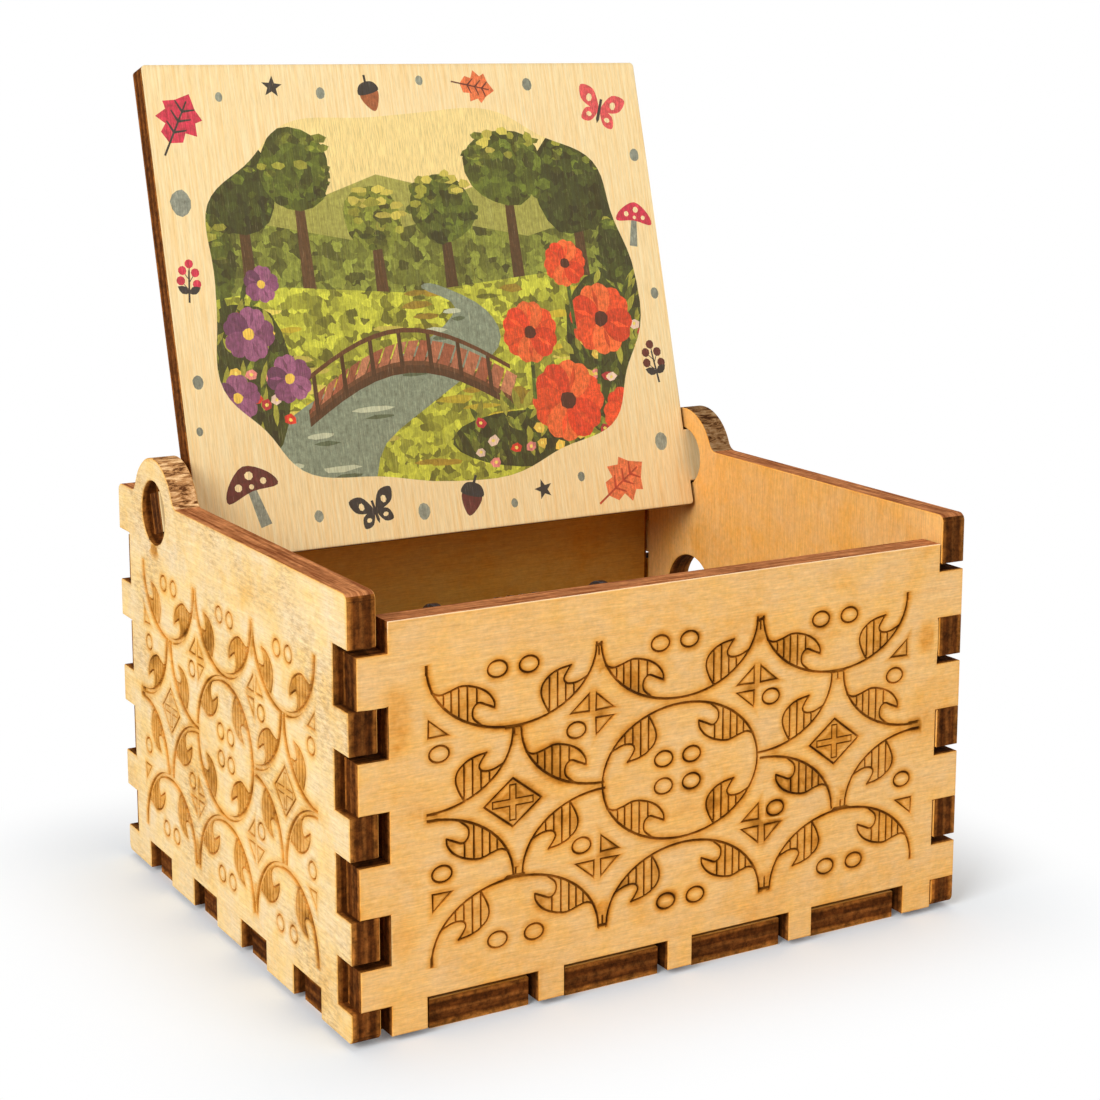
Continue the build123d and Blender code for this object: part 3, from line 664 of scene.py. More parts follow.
def tracery(ribbon, toast):
    """The engraving of a wall in mm: lines (points, closed, extra half width), toasted patches (outline, burn)."""
    lines, fills = [], []

    def add_leaf(middle, quarter):
        leaf_lines, leaf_outline = leaf_at(middle, quarter)
        lines.extend(leaf_lines)
        fills.append((leaf_outline, toast))

    for middle, start, end, leaves in (
        ((17.2, 35.1), 180, 360, "LL LR"), ((36.0, 35.1), 180, 360, "LL LR"), ((55.0, 35.1), 180, 360, "LL LR"),
        ((8.0, 27.9), 270, 360, "LR"), ((27.2, 27.9), 180, 270, "LL"),
        ((45.4, 27.9), 270, 360, "LR"), ((65.2, 27.9), 180, 270, "LL"),
        ((8.0, 13.5), 0, 90, "UR"), ((27.3, 13.5), 90, 180, "UL"),
        ((45.7, 13.5), 0, 90, "UR"), ((65.7, 13.5), 90, 180, "UL"),
        ((17.5, 6.3), 0, 180, "UR UL"), ((36.7, 6.3), 0, 180, "UR UL"), ((56.3, 6.3), 0, 180, "UR UL"),
    ):
        lines.append((arc_of(middle, arc_wide, arc_tall, start, end, (end - start) // 6), False, ribbon))
        for leaf in leaves.split():
            add_leaf(middle, leaf)
    lines.append((arc_of((36.2, 20.7), arc_wide, arc_tall, 0, 354, 59), True, ribbon))
    for leaf in ("LL", "LR", "UR", "UL"):
        add_leaf((36.2, 20.7), leaf)
    for x, y in (
        (15.5, 34.0), (18.9, 34.0), (33.6, 34.0), (37.0, 34.0), (53.0, 33.9), (56.6, 33.9),
        (15.4, 7.3), (19.4, 7.3), (34.5, 7.4), (38.0, 7.4), (54.2, 7.3), (57.9, 7.3),
        (34.1, 22.2), (37.4, 22.2), (34.1, 19.4), (37.4, 19.4),
        (9.3, 26.7), (24.1, 26.7), (46.9, 26.7), (62.7, 26.6), (9.5, 15.0), (24.7, 15.0), (47.7, 14.8), (64.0, 15.1),
    ):
        lines.append((arc_of((x, y), circle_wide, circle_tall, 0, 345, 23), True, 0.0))
    for x, y, quarters in (
        (25.9, 28.0, ((-1, 1), (1, 1), (1, -1))), (45.2, 28.0, ((-1, 1), (1, 1), (-1, -1))),
        (26.5, 13.6, ((1, 1), (1, -1), (-1, -1))), (46.0, 13.6, ((-1, 1), (1, -1), (-1, -1))),
        (7.8, 28.0, ((1, 1),)), (8.1, 13.5, ((1, -1),)), (64.6, 28.2, ((-1, 1),)), (65.7, 13.3, ((-1, -1),)),
    ):
        for across, rise in quarters:
            near_x, near_y = x + 0.38 * across, y + 0.38 * rise
            triangle = [(near_x, near_y), (near_x + 2.15 * across, near_y), (near_x, near_y + 1.75 * rise)]
            lines.append((triangle[::across * rise], True, 0.0))
    for x, y in ((17.1, 20.7), (55.0, 20.7)):
        lines.append(([(x - 3.1, y), (x, y - 2.4), (x + 3.1, y), (x, y + 2.4)], True, 0.0))
        cross = [(0.33, 0.33), (0.33, 1.75), (-0.33, 1.75), (-0.33, 0.33), (-2.2, 0.33), (-2.2, -0.33)]
        cross += [(-px, -py) for px, py in cross]
        lines.append(([(x + px, y + py) for px, py in cross], True, -0.04))
    for x, y, across, rise, stem in (
        (8.05, 34.9, 0, 0.35, 0), (26.6, 34.85, 0.3, 0.1, -1.4), (45.5, 34.85, 0.4, 0.1, -1.4),
        (64.15, 34.9, 0, 0.35, 0), (8.35, 6.4, 0, 0.35, 0), (27.1, 6.4, 0.45, 0, 1.4), (46.5, 6.4, 0.6, 0, 1.4),
        (65.45, 6.5, 0, 0.4, 0), (8.6, 21.0, 0.4, 0, 0), (8.7, 20.35, 0.4, 0, 0), (65.4, 21.1, 0.5, 0, 0),
        (65.6, 20.4, 0.5, 0, 0), (17.3, 28.15, 0.9, 0, -1.0), (55.3, 28.15, 0.8, 0, -1.0),
        (17.4, 13.35, 0.9, 0, 1.0), (56.0, 13.35, 0.8, 0, 1.0),
    ):
        lines.append(([(x - across, y - rise), (x, y), (x + across, y + rise)], False, 0.06))
        if stem:
            spike = [(x - 0.55, y), (x + 0.55, y), (x + 0.7, y + 0.8 * stem), (x, y + 2.2 * stem),
                     (x - 0.7, y + 0.8 * stem)]
            fills.append((spike, 0.36))
            lines.append(([(x, y), (x, y + 0.4 * stem), (x, y + 0.7 * stem)], False, 0.0))
    return lines, fills


def tracery_on(middle, wide, tall, ribbon=0.02, toast=0.20, hole=None):
    """The tracery stretched onto another wall, left out round a hole given as (x, y, radius)."""

    def onto(points):
        x0, y0 = tracery_middle
        return [(middle[0] + wide * (x - x0), middle[1] + tall * (y - y0)) for x, y in points]

    def cut_off(point):
        return math.dist(point, hole[:2]) < hole[2]

    kept = []
    lines, fills = tracery(ribbon, toast)
    for points, closed, wider in lines:
        moved = onto(points)
        if not hole or not any(cut_off(point) for point in moved):
            kept.append((moved, closed, wider))
            continue
        runs = [[]]
        for point in moved + (moved[:1] if closed else []):
            if cut_off(point):
                runs.append([])
            else:
                runs[-1].append(point)
        kept += [(run, False, wider) for run in runs if len(run) > 2]
    return kept, [(onto(ring), amount) for ring, amount in fills]


low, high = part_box("front_wall")
make_board("front_wall", Vector((-half_wide, low.y, foot_level)), X_AXIS, Z_AXIS, 1, *tracery(0.02, 0.20),
           # inner: the inner face darkened, a painted shade
           inner=(0.9, 0.8, 0.6),
           marks=[smudge(4.8, 30.5, 1.2, 2.6, 0.26, 1.4), smudge(5.2, 9.5, 0.9, 1.6, 0.2, 1.2),
                  smudge(66.9, 30.2, 0.8, 1.2, 0.22, 1.0)],
           seams=corner_seams(3.1, 68.4, 3.0, 39.0))

# ---------------------------------------------------------------------------
# The back wall: a second board like the front one, but as high as the sides.
# Its tracery is the front wall's.

low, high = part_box("back_wall")
back_engraving = tracery_on((35.75, 20.7), 1.0, 1.0)
make_board("back_wall", Vector((half_wide, high.y, foot_level)), -X_AXIS, Z_AXIS, 2, *back_engraving,
           # inner: the inner face darkened and browned, a painted shade under the lid
           inner=(0.66, 0.56, 0.24), seams=corner_seams(3.1, 68.4, 3.0, 42.5))

# ---------------------------------------------------------------------------
# The side walls: the same ply, with a round lug at the rear whose eye holds
# the lid's pivot. The right wall has the hole that the crank passes through.

low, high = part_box("left_wall")
left_engraving = tracery_on((29.8, 20.4), -0.81, 1.05, 0.20, 0.44)
make_board("left_wall", Vector((low.x, half_deep, foot_level)), -Y_AXIS, Z_AXIS, 3, *left_engraving,
           # inner: painted shade on the inner face; outer: the outer face paled, a painted light from the left
           inner=(0.95, 0.86, 0.7), outer=(1.02, 1.30, 1.90), wear=1.0, crossed=1.0, heat=0.66,
           marks=[smudge(10.9, 37.5, 0.9, 0.5, 0.5, 0.9)])
low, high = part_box("right_wall")
right_engraving = tracery_on((30.2, 20.4), 0.81, 1.05, 0.20, 0.44, (47.4, 24.4, 5.7))
make_board("right_wall", Vector((high.x, -half_deep, foot_level)), Y_AXIS, Z_AXIS, 4, *right_engraving,
           # inner: the inner face brightened, a painted light; outer: the outer face paled, a painted light
           inner=(1.06, 1.02, 0.92), outer=(1.02, 1.15, 1.35), crossed=1.0, heat=0.66)

# ---------------------------------------------------------------------------
# The floor panel: the same ply, cut with tabs that sit in the slots along the
# lower edges of the four walls, and with holes for the casting's two screws.

low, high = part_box("floor_panel")
# inner: the top face darkened, a painted shade inside the box
make_board("floor_panel", Vector((-half_wide, half_deep, low.z)), X_AXIS, -Y_AXIS, 5, inner=(0.82, 0.70, 0.46))

# ---------------------------------------------------------------------------
# The lid: a ply panel whose two stepped pivots turn in the eyes of the side
# walls. Its inner face carries a garden view with small autumn motifs round
# it, printed straight onto the bare wood, so the grain shows through the ink.

lid_lean = math.radians(15.5)
lid_up = Vector((0, math.sin(lid_lean), math.cos(lid_lean)))
lid_inner = Vector((0, -math.cos(lid_lean), math.sin(lid_lean)))
hinge_spot = Vector((0, 0.019, 0.0421))
view_middle = (36.3, 21.8)
view_wide, view_tall = 27.3, 21.6
squareness = 0.74
full_turn = 6.283
bridge_start, bridge_span, bridge_rise = 19, 26, 5.2


def ink(red, green, blue, cover=0.93):
    """A printed colour, from its values on a colour chart."""
    chart = [value / 255 for value in (red, green, blue)]
    return (*[value / 12.92 if value <= 0.04045 else ((value + 0.055) / 1.055) ** 2.4 for value in chart], cover)


def varied(colour, chance, spread=0.18):
    """A colour a little lighter or darker."""
    gain = 1 + spread * (2 * chance.random() - 1)
    return (*[min(1.0, value * gain) for value in colour[:3]], colour[3])


def loop_round(points, steps=4):
    """A smooth closed line through points."""
    ring = [Vector(point) for point in points]
    smooth = []
    for index in range(len(ring)):
        smooth += smooth_span(*[ring[(index + place) % len(ring)] for place in (-1, 0, 1, 2)], steps)
    return smooth


def dab(x, y, wide, tall, chance, count=7, wobble=0.22):
    """A small uneven patch of ink."""
    start = chance.random() * 6
    points = []
    for index in range(count):
        angle = start + 2 * math.pi * index / count
        reach = 1 + wobble * (2 * chance.random() - 1)
        points.append((x + wide * reach * math.cos(angle), y + tall * reach * math.sin(angle)))
    return points


def placed(points, x, y, size=1.0, turn=0.0):
    """Points of a motif, turned in degrees, scaled and moved to its place."""
    cos, sin = math.cos(math.radians(turn)) * size, math.sin(math.radians(turn)) * size
    return [(x + px * cos - py * sin, y + px * sin + py * cos) for px, py in points]


def blade(x, y, length, width, turn):
    """A pointed leaf that grows from a spot."""
    points = [(0, 0), (0.18, 0.32), (0.45, 0.5), (0.75, 0.34), (1, 0), (0.75, -0.34), (0.45, -0.5), (0.18, -0.32)]
    return placed([(px * length, py * width) for px, py in points], x, y, 1.0, turn)


def in_oval(x, y, wide, tall, chance):
    """A chance spot within an oval."""
    angle, reach = full_turn * chance.random(), math.sqrt(chance.random())
    return x + wide * reach * math.cos(angle), y + tall * reach * math.sin(angle)


def garden_view():
    """The print, from its lowest layer to its topmost: outline, colour and what the shape is cut off by."""
    chance = random.Random(11)
    frame_line = []
    for step in range(120):
        angle = 2 * math.pi * step / 120
        cos, sin = math.cos(angle), math.sin(angle)
        reach = 1 + 0.028 * math.cos(9 * angle + 0.6)
        cos, sin = math.copysign(abs(cos) ** squareness, cos), math.copysign(abs(sin) ** squareness, sin)
        frame_line.append((view_middle[0] + view_wide * reach * cos, view_middle[1] + view_tall * reach * sin))
    layers = [(frame_line, ink(247, 222, 156, 0.85), None)]

    def paint(ring, colour, within=frame_line):
        layers.append((ring, colour, within))

    # far hills, then the wood's edge: crowns built up from dark to light dabs
    paint([(5, 24), (5, 33), (13, 35.5), (22, 33), (31, 36), (41, 33.5), (52, 36.5), (61, 34), (69, 35), (69, 24)],
          ink(176, 172, 92))
    paint([(5, 20), (5, 29), (15, 31), (27, 28.5), (38, 30.5), (50, 28), (60, 30.5), (69, 29), (69, 20)],
          ink(128, 134, 58))
    greens = (ink(62, 74, 28), ink(90, 102, 36), ink(122, 128, 50), ink(168, 164, 68), ink(212, 196, 98))
    for x, y, wide, tall, light in (
        (14, 35, 4.6, 5.4, 0), (57, 34, 5.4, 6.4, 0), (21, 37, 4.6, 4.8, 1), (48, 36.5, 5.2, 4.8, 1),
        (30, 31, 3.8, 3.6, 2), (39, 32, 4.2, 4.2, 1), (63, 27, 3.4, 5.6, 0), (9.5, 27, 3.2, 5.2, 1),
    ):
        trunk = [(x - 0.5, y), (x + 0.5, y), (x + 0.9, 20), (x - 0.8, 20)]
        paint(trunk, varied(ink(98, 66, 42), chance))
        paint(loop_round(dab(x, y, wide, tall, chance, 9, 0.10), 2), varied(greens[light], chance))
        for step in range(34):
            px, py = in_oval(x, y, wide, tall, chance)
            tone = min(4, max(0, light + int(2.4 * (py - y) / tall + 3.2 * chance.random() - 0.9)))
            paint(dab(px, py, 0.55 + 0.5 * chance.random(), 0.35 + 0.35 * chance.random(), chance, 6),
                  varied(greens[tone], chance))
    # the meadow in strokes of gold and green, with a stream through it
    paint([(5, -2), (5, 22), (18, 23.5), (34, 22), (52, 23.5), (69, 21.5), (69, -2)], ink(176, 176, 66))
    for step in range(95):
        px, py = 8 + 57 * chance.random(), 2 + 20 * chance.random()
        colour = chance.choice((ink(206, 184, 60), ink(158, 152, 54), ink(132, 132, 46), ink(222, 206, 104),
                                ink(176, 148, 52)))
        paint(dab(px, py, 1.3 + 1.4 * chance.random(), 0.28 + 0.3 * chance.random(), chance, 7),
              varied(colour, chance))
    stream = loop_round([(35, 22.5), (39, 20), (34, 16), (24, 12.5), (14, 7), (9, 0), (24, -1), (28, 5), (36, 10),
                         (44, 15), (43, 19.5), (37, 22.8)])
    paint(stream, ink(150, 160, 138))
    for px, py, length in ((36, 17.5, 3.6), (32, 13.5, 4.2), (27, 9, 4.8), (20, 6.5, 4.0), (22, 2.6, 4.6),
                           (38.5, 19.6, 2.2), (16, 3.4, 3.0)):
        paint(dab(px, py, length / 2, 0.34, chance, 8), ink(205, 208, 178))
        paint(dab(px + 0.8, py - 0.9, length / 2.6, 0.26, chance, 8), ink(104, 118, 92))
    # the plank footbridge
    for side, colour in ((0.0, ink(96, 58, 40)), (1.5, ink(120, 76, 52))):
        rise = [(bridge_start + bridge_span * t / 12, 8.6 + side * 0.6 + bridge_rise * math.sin(math.pi * t / 12))
                for t in range(13)]
        paint(rise + [(px, py - 1.0) for px, py in rise[::-1]], colour)
    for plank in range(17):
        t0, t1 = plank / 17, (plank + 0.86) / 17
        near = [(bridge_start + bridge_span * t, 9.0 + bridge_rise * math.sin(math.pi * t)) for t in (t0, t1)]
        far = [(px + 1.2, py + 2.3) for px, py in near[::-1]]
        paint(near + far,
              varied(chance.choice((ink(190, 122, 92), ink(170, 100, 74), ink(206, 142, 108))), chance, 0.1))
    for post in range(7):
        t = (post + 0.3) / 7
        px, py = bridge_start + bridge_span * t, 8.8 + bridge_rise * math.sin(math.pi * t)
        paint([(px - 0.28, py - 0.6), (px + 0.28, py - 0.6), (px + 0.24, py + 4.0), (px - 0.24, py + 4.0)],
              ink(88, 50, 34))
    rail = [(18.6 + 26.6 * t / 14, 12.3 + 5.2 * math.sin(math.pi * t / 14)) for t in range(15)]
    paint(rail + [(px, py + 0.55) for px, py in rail[::-1]], ink(112, 66, 44))
    # flower beds at both sides, dark leaves first
    for middle_x, middle_y, wide, tall, count in ((12, 13.5, 5.2, 9, 60), (60, 13, 6.4, 11, 84),
                                                  (46, 4.2, 9, 3.4, 44)):
        paint(loop_round(dab(middle_x, middle_y, wide, tall, chance, 11, 0.10), 2), ink(60, 70, 26))
        for step in range(count):
            px, py = in_oval(middle_x, middle_y, wide, tall, chance)
            turn = 40 + 100 * chance.random()
            colour = chance.choice(greens[:4])
            paint(blade(px, py, 1.6 + 1.8 * chance.random(), 0.6 + 0.5 * chance.random(), turn),
                  varied(colour, chance))
        for step in range(count // 4):
            px, py = middle_x + wide * (1.8 * chance.random() - 0.9), middle_y + tall * (1.7 * chance.random() - 0.85)
            colour = chance.choice((ink(226, 60, 48), ink(244, 214, 190), ink(236, 150, 140), ink(244, 206, 96),
                                    ink(196, 44, 70)))
            paint(dab(px, py, 0.72, 0.62, chance, 6), varied(colour, chance, 0.1))
            paint(dab(px, py, 0.24, 0.22, chance, 5), ink(248, 224, 120))

    def bloom(x, y, size, petals, turn, colours, heart):
        for petal in range(petals):
            outline = [(0, 0), (0.35, 0.42), (0.8, 0.5), (1.05, 0.22), (1.0, 0), (1.05, -0.22), (0.8, -0.5),
                       (0.35, -0.42)]
            around = turn + 360 * petal / petals
            paint(loop_round(placed(outline, x, y, size, around), 2),
                  varied(colours[petal % len(colours)], chance, 0.08))
            paint(placed([(0.3, 0), (0.6, 0.08), (0.95, 0.02), (0.6, -0.08)], x, y, size, around),
                  varied(colours[0], chance, 0.3))
        paint(dab(x, y, 0.24 * size, 0.24 * size, chance, 9, 0.1), heart)

    coral = (ink(238, 92, 48), ink(246, 122, 66), ink(228, 74, 40))
    purple = (ink(146, 84, 122), ink(168, 104, 140), ink(122, 66, 106))
    for x, y, size, turn in ((52.5, 8, 4.6, 10), (58.5, 17.5, 4.1, 40), (48.5, 16.5, 3.5, 25), (60.5, 5.8, 3.2, 0),
                             (54.5, 24.5, 2.7, 15)):
        paint(placed([(-0.25, 0), (0.25, 0), (0.4, -8), (-0.1, -8)], x, y, 1.0, 8 - turn * 0.5), ink(84, 104, 40))
        bloom(x, y, size, 6, turn, coral, ink(94, 30, 34))
    for x, y, size, turn in ((13, 18.5, 2.9, 0), (17.2, 13.2, 2.6, 30), (10.8, 11.5, 2.5, 15), (15.2, 24, 2.0, 5)):
        bloom(x, y, size, 5, turn, purple, ink(244, 206, 96))

    # the motifs on the bare margin
    burgundy, magenta, charcoal = ink(112, 30, 48), ink(216, 44, 92), ink(44, 46, 62)
    orange, grey, cream = ink(238, 132, 84), ink(152, 156, 142), ink(248, 226, 178, 0.9)

    def stamp(points, spot, colour):
        paint(placed(points, *spot), colour, None)

    def autumn_leaf(spot, colour, vein):
        half_leaf = [(0, 0), (0.12, 0.22), (0.3, 0.2), (0.34, 0.42), (0.55, 0.3), (0.66, 0.4), (0.78, 0.2), (1, 0)]
        whole = half_leaf + [(px, -py) for px, py in half_leaf[-2:0:-1]]
        stamp(whole, spot, colour)
        stamp([(-0.25, 0.02), (0.85, 0.015), (0.85, -0.015), (-0.25, -0.02)], spot, vein)
        for start in (0.2, 0.42, 0.62):
            for side in (1, -1):
                twig = [(start, 0.012 * side), (start + 0.14, 0.2 * side), (start + 0.17, 0.2 * side),
                        (start + 0.05, 0.0)]
                stamp(twig, spot, vein)

    def toadstool(spot, colour):
        stem = [(-0.13, -0.75), (0.15, -0.75), (0.1, 0.1), (-0.1, 0.1)]
        cap = loop_round([(-0.62, 0.0), (-0.5, 0.35), (0, 0.66), (0.5, 0.35), (0.62, 0.0), (0, 0.07)], 4)
        stamp(stem, spot, grey)
        stamp(cap, spot, colour)
        for px, py, radius in ((-0.28, 0.25, 0.09), (0.05, 0.42, 0.1), (0.33, 0.2, 0.075), (0.02, 0.17, 0.06)):
            stamp(dab(px, py, radius, radius, chance, 8, 0.05), spot, cream)

    def acorn(spot, shell, cap_colour):
        nut = loop_round([(-0.36, 0.05), (-0.34, -0.35), (0, -0.78), (0.34, -0.35), (0.36, 0.05)], 4)
        cap = loop_round([(-0.46, 0.02), (-0.34, 0.36), (0, 0.46), (0.34, 0.36), (0.46, 0.02), (0, -0.06)], 4)
        stamp(nut, spot, shell)
        stamp(cap, spot, cap_colour)
        stamp([(-0.05, 0.4), (0.05, 0.4), (0.1, 0.72), (0.0, 0.74)], spot, cap_colour)

    def butterfly(spot, wing, body_colour):
        for side in (1, -1):
            upper = loop_round([(0.03 * side, 0.02), (0.3 * side, 0.5), (0.72 * side, 0.5), (0.62 * side, 0.12),
                                (0.25 * side, -0.03)], 4)
            lower = loop_round([(0.04 * side, -0.02), (0.42 * side, -0.08), (0.5 * side, -0.42), (0.2 * side, -0.4)],
                               4)
            for wing_line, share in ((upper, 0.2), (lower, 0.1)):
                stamp(wing_line, spot, wing)
                middle_x = sum(px for px, _ in wing_line) / len(wing_line)
                middle_y = sum(py for _, py in wing_line) / len(wing_line)
                stamp(dab(middle_x, middle_y, 0.09, share / 2 + 0.02, chance, 7, 0.05), spot, cream)
        body_line = [(-0.04, 0.3), (0.04, 0.3), (0.05, -0.3), (0, -0.42), (-0.05, -0.3)]
        stamp(body_line, spot, body_colour)

    def berries(spot, fruit):
        stamp([(-0.04, -0.7), (0.04, -0.7), (0.03, 0.5), (-0.03, 0.5)], spot, charcoal)
        for px, py in ((-0.32, 0.1), (0.3, 0.0), (-0.26, 0.48), (0.24, 0.42), (0, 0.74)):
            twig = [(0, py - 0.35), (0.04, py - 0.35), (px + 0.02, py), (px - 0.02, py)]
            stamp(twig, spot, charcoal)
            stamp(dab(px, py, 0.17, 0.17, chance, 9, 0.04), spot, fruit)
        for side in (1, -1):
            stamp(blade(0, -0.35, 0.5, 0.3, 90 - 62 * side), spot, varied(charcoal, chance))

    def star(spot, colour):
        tips = [(0.42 if tip % 2 else 1, 0.6283 * tip) for tip in range(10)]
        points = [(reach * math.cos(angle), reach * math.sin(angle)) for reach, angle in tips]
        stamp(points, spot, colour)

    autumn_leaf((6.6, 40.2, 6.2, 62), magenta, charcoal)
    star((19.5, 46.4, 1.3, 12), charcoal)
    acorn((31.5, 45.6, 2.9, 14), ink(178, 104, 66), charcoal)
    autumn_leaf((43.5, 46.6, 4.6, -12), orange, burgundy)
    butterfly((62.3, 43.2, 4.4, -20), ink(232, 96, 104), charcoal)
    toadstool((65.0, 29.0, 3.9, -10), magenta)
    berries((65.2, 11.5, 3.3, 8), burgundy)
    autumn_leaf((56.2, -3.8, 6.4, 34), orange, ink(196, 70, 50))
    star((47.5, -2.2, 1.25, 30), charcoal)
    acorn((38.0, -1.9, 3.2, -16), burgundy, charcoal)
    butterfly((25.5, -2.4, 3.8, 14), charcoal, charcoal)
    toadstool((11.2, 0.8, 5.0, 16), burgundy)
    berries((6.8, 24.5, 3.0, -6), magenta)
    for x, y, size in ((7.0, 33.5, 1.5), (13.0, 45.3, 0.55), (25.4, 45.6, 0.7), (38.2, 47.0, 0.6), (52.6, 46.4, 0.8),
                       (66.4, 37.4, 0.8), (66.6, 20.2, 0.7), (6.4, 13.6, 0.8), (18.6, -2.4, 0.7), (31.6, -3.2, 0.95),
                       (43.4, -3.4, 0.55), (52.8, -1.2, 0.6), (64.6, 2.0, 1.1), (5.9, 8.2, 0.5)):
        paint(dab(x, y, size * 0.8, size, chance, 11, 0.05), varied(grey, chance), None)
    return layers


printed_veneer, mat = new_material("printed_birch_veneer")
place = mat.attribute("board_place", "Vector")
burn = mat.attribute("burn")
print_ink = mat.node("Attribute", attribute_name="ink").outputs
stretch = mat.stretched(place, (0.05, 1.3, 0.3))
bands = mat.noise(stretch, 2.2, 6.0, 0.62)
fine = mat.stretched(place, (0.5, 8.0, 1.0))
pores = mat.noise(fine, 1.0, 4.0, 0.7)
tone = mat.ramp(bands, (0.3, (0.9, 0.6, 0.25)), (0.66, (0.95, 0.76, 0.43)))
pore_shade = mat.ranged(pores, 0.35, 0.6, 0.86, 1.02)
bare = mat.scaled(tone, pore_shade)
mottle = mat.noise(place, 1.6, 5.0, 0.75)
parts = mat.node("SeparateColor", {0: print_ink["Color"]}).outputs
mottle = mat.ranged(mottle, 0.32, 0.68, 0.58, 1.36)
pale = mat.ranged(parts[1], 0.3, 0.7)
mottle = mat.mixed_value(pale, mottle, 1.0)
leafy = mat.math("MULTIPLY_ADD", parts[0], -0.8, parts[1])
leafy = mat.math("SUBTRACT", leafy, parts[2])
leafy = mat.ranged(leafy, 0.0, 0.006)
sprigs = mat.noise(place, 0.8, 2.0, output="Color")
sprigs = mat.vector("MULTIPLY_ADD", sprigs, (1.6, 1.6, 0), place)
sprigs = mat.node("TexVoronoi", {"Vector": sprigs, "Scale": 1.0, "Randomness": 1.0}).outputs["Color"]
sprigs = mat.node("SeparateColor", {0: sprigs}).outputs[0]
sprigs = mat.ranged(sprigs, 0.0, 1.0, 0.3, 1.95)
sprigs = mat.mixed_value(leafy, 1.0, sprigs)
ink_pores = mat.ranged(pores, 0.35, 0.62, 0.66, 1.14)
ink_shade = mat.times(mottle, ink_pores)
ink_shade = mat.times(ink_shade, sprigs)
deep_ink = mat.node("Gamma", {"Color": print_ink["Color"], "Gamma": 1.22}).outputs[0]
ink_colour = mat.scaled(deep_ink, ink_shade)
cover = mat.ranged(pores, 0.6, 0.75, 1.0, 0.72)
cover = mat.times(cover, print_ink["Alpha"])
inked = mat.mixed(cover, bare, ink_colour)
rim = mat.ranged(burn, 0.0, 1.0, 1.0, 0.25)
inked = mat.scaled(inked, rim)
print_bump = mat.bump(pores, 0.22, 8e-05)
mat.surface(Base_Color=inked, Roughness=0.62, Normal=print_bump, Specular_IOR_Level=0.15)

lid_corner = hinge_spot + lid_inner * ply_thickness / 2000 + Vector((-half_wide, 0, 0))
make_board("lid", lid_corner, X_AXIS, lid_up, 6, body="lid", printed=garden_view(), grain_up=True)

# ---------------------------------------------------------------------------
# The bedplate of the movement: one zinc casting with four feet, the comb's
# seat, the front bearing post and two pads at the rear, all of it satin grey
# as it was cast.


def softened(name, edge, sharp=35.0):
    """A copy of a CAD node with its triangles joined into faces, its edges rounded and its round faces smooth."""
    solid = bmesh.new()
    solid.from_mesh(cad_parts[name].data)
    bmesh.ops.remove_doubles(solid, verts=solid.verts, dist=same_spot)
    bmesh.ops.dissolve_limit(solid, angle_limit=math.radians(0.6), verts=solid.verts, edges=solid.edges)
    mesh = bpy.data.meshes.new(name + "_made")
    solid.to_mesh(mesh)
    solid.free()
    piece = linked(name + "_made", mesh)
    if edge:
        rounding = piece.modifiers.new("rounded_edges", "BEVEL")
        rounding.width = edge / 1000
        rounding.segments = 2
        rounding.limit_method = "ANGLE"
        rounding.angle_limit = math.radians(40)
        rounding.use_clamp_overlap = True
        graph = bpy.context.evaluated_depsgraph_get()
        rounded = bpy.data.meshes.new_from_object(piece.evaluated_get(graph))
        piece.modifiers.clear()
        piece.data = rounded
        bpy.data.meshes.remove(mesh)
    piece.data.materials.clear()
    piece.data.shade_smooth()
    piece.data.set_sharp_from_angle(angle=math.radians(sharp))
    return piece


def fitted(piece, node_name, material, body):
    """Gives a piece its material, and puts it in the place of a CAD node on its body."""
    piece.data.materials.clear()
    piece.data.materials.append(material)
    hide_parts(node_name)
    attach(piece, body)
    return piece


def metal(name, colour, dark, roughness, lines, line_scale, bump=0.25, mottle=1.6, metallic=1.0):
    """A metal with cutting lines across an axis, a patchy tarnish and an uneven shine; lengths in mm."""
    material, mat = new_material(name)
    in_mm = mat.object_place(1000.0)
    cut = mat.stretched(in_mm, lines)
    cut = mat.noise(cut, line_scale, 3.0, 0.6)
    patch = mat.noise(in_mm, mottle, 5.0, 0.65)
    tarnish = mat.ramp(patch, (0.32, dark), (0.6, colour))
    streaks = mat.ranged(cut, 0.3, 0.7, 0.86, 1.1)
    streaked = mat.scaled(tarnish, streaks)
    worn = mat.math("ADD", cut, patch)
    rough = mat.ranged(worn, 0.7, 1.3, roughness * 0.75, roughness * 1.3)
    lines_bump = mat.bump(cut, bump, 3e-05)
    mat.surface(Base_Color=streaked, Roughness=rough, Metallic=metallic, Normal=lines_bump)
    return material


cast_zinc = metal("cast_zinc", (0.50, 0.50, 0.49), (0.36, 0.36, 0.35), 0.44, (1.0, 1.0, 1.0), 5.0, bump=0.9,
                  mottle=0.7)
fitted(softened("bedplate", 0.25), "bedplate", cast_zinc, "case")

# ---------------------------------------------------------------------------
# The comb: spring steel, ground flat and slit into 18 teeth, blued by the
# hardening where the slits end. Under the long teeth sit small lead weights.

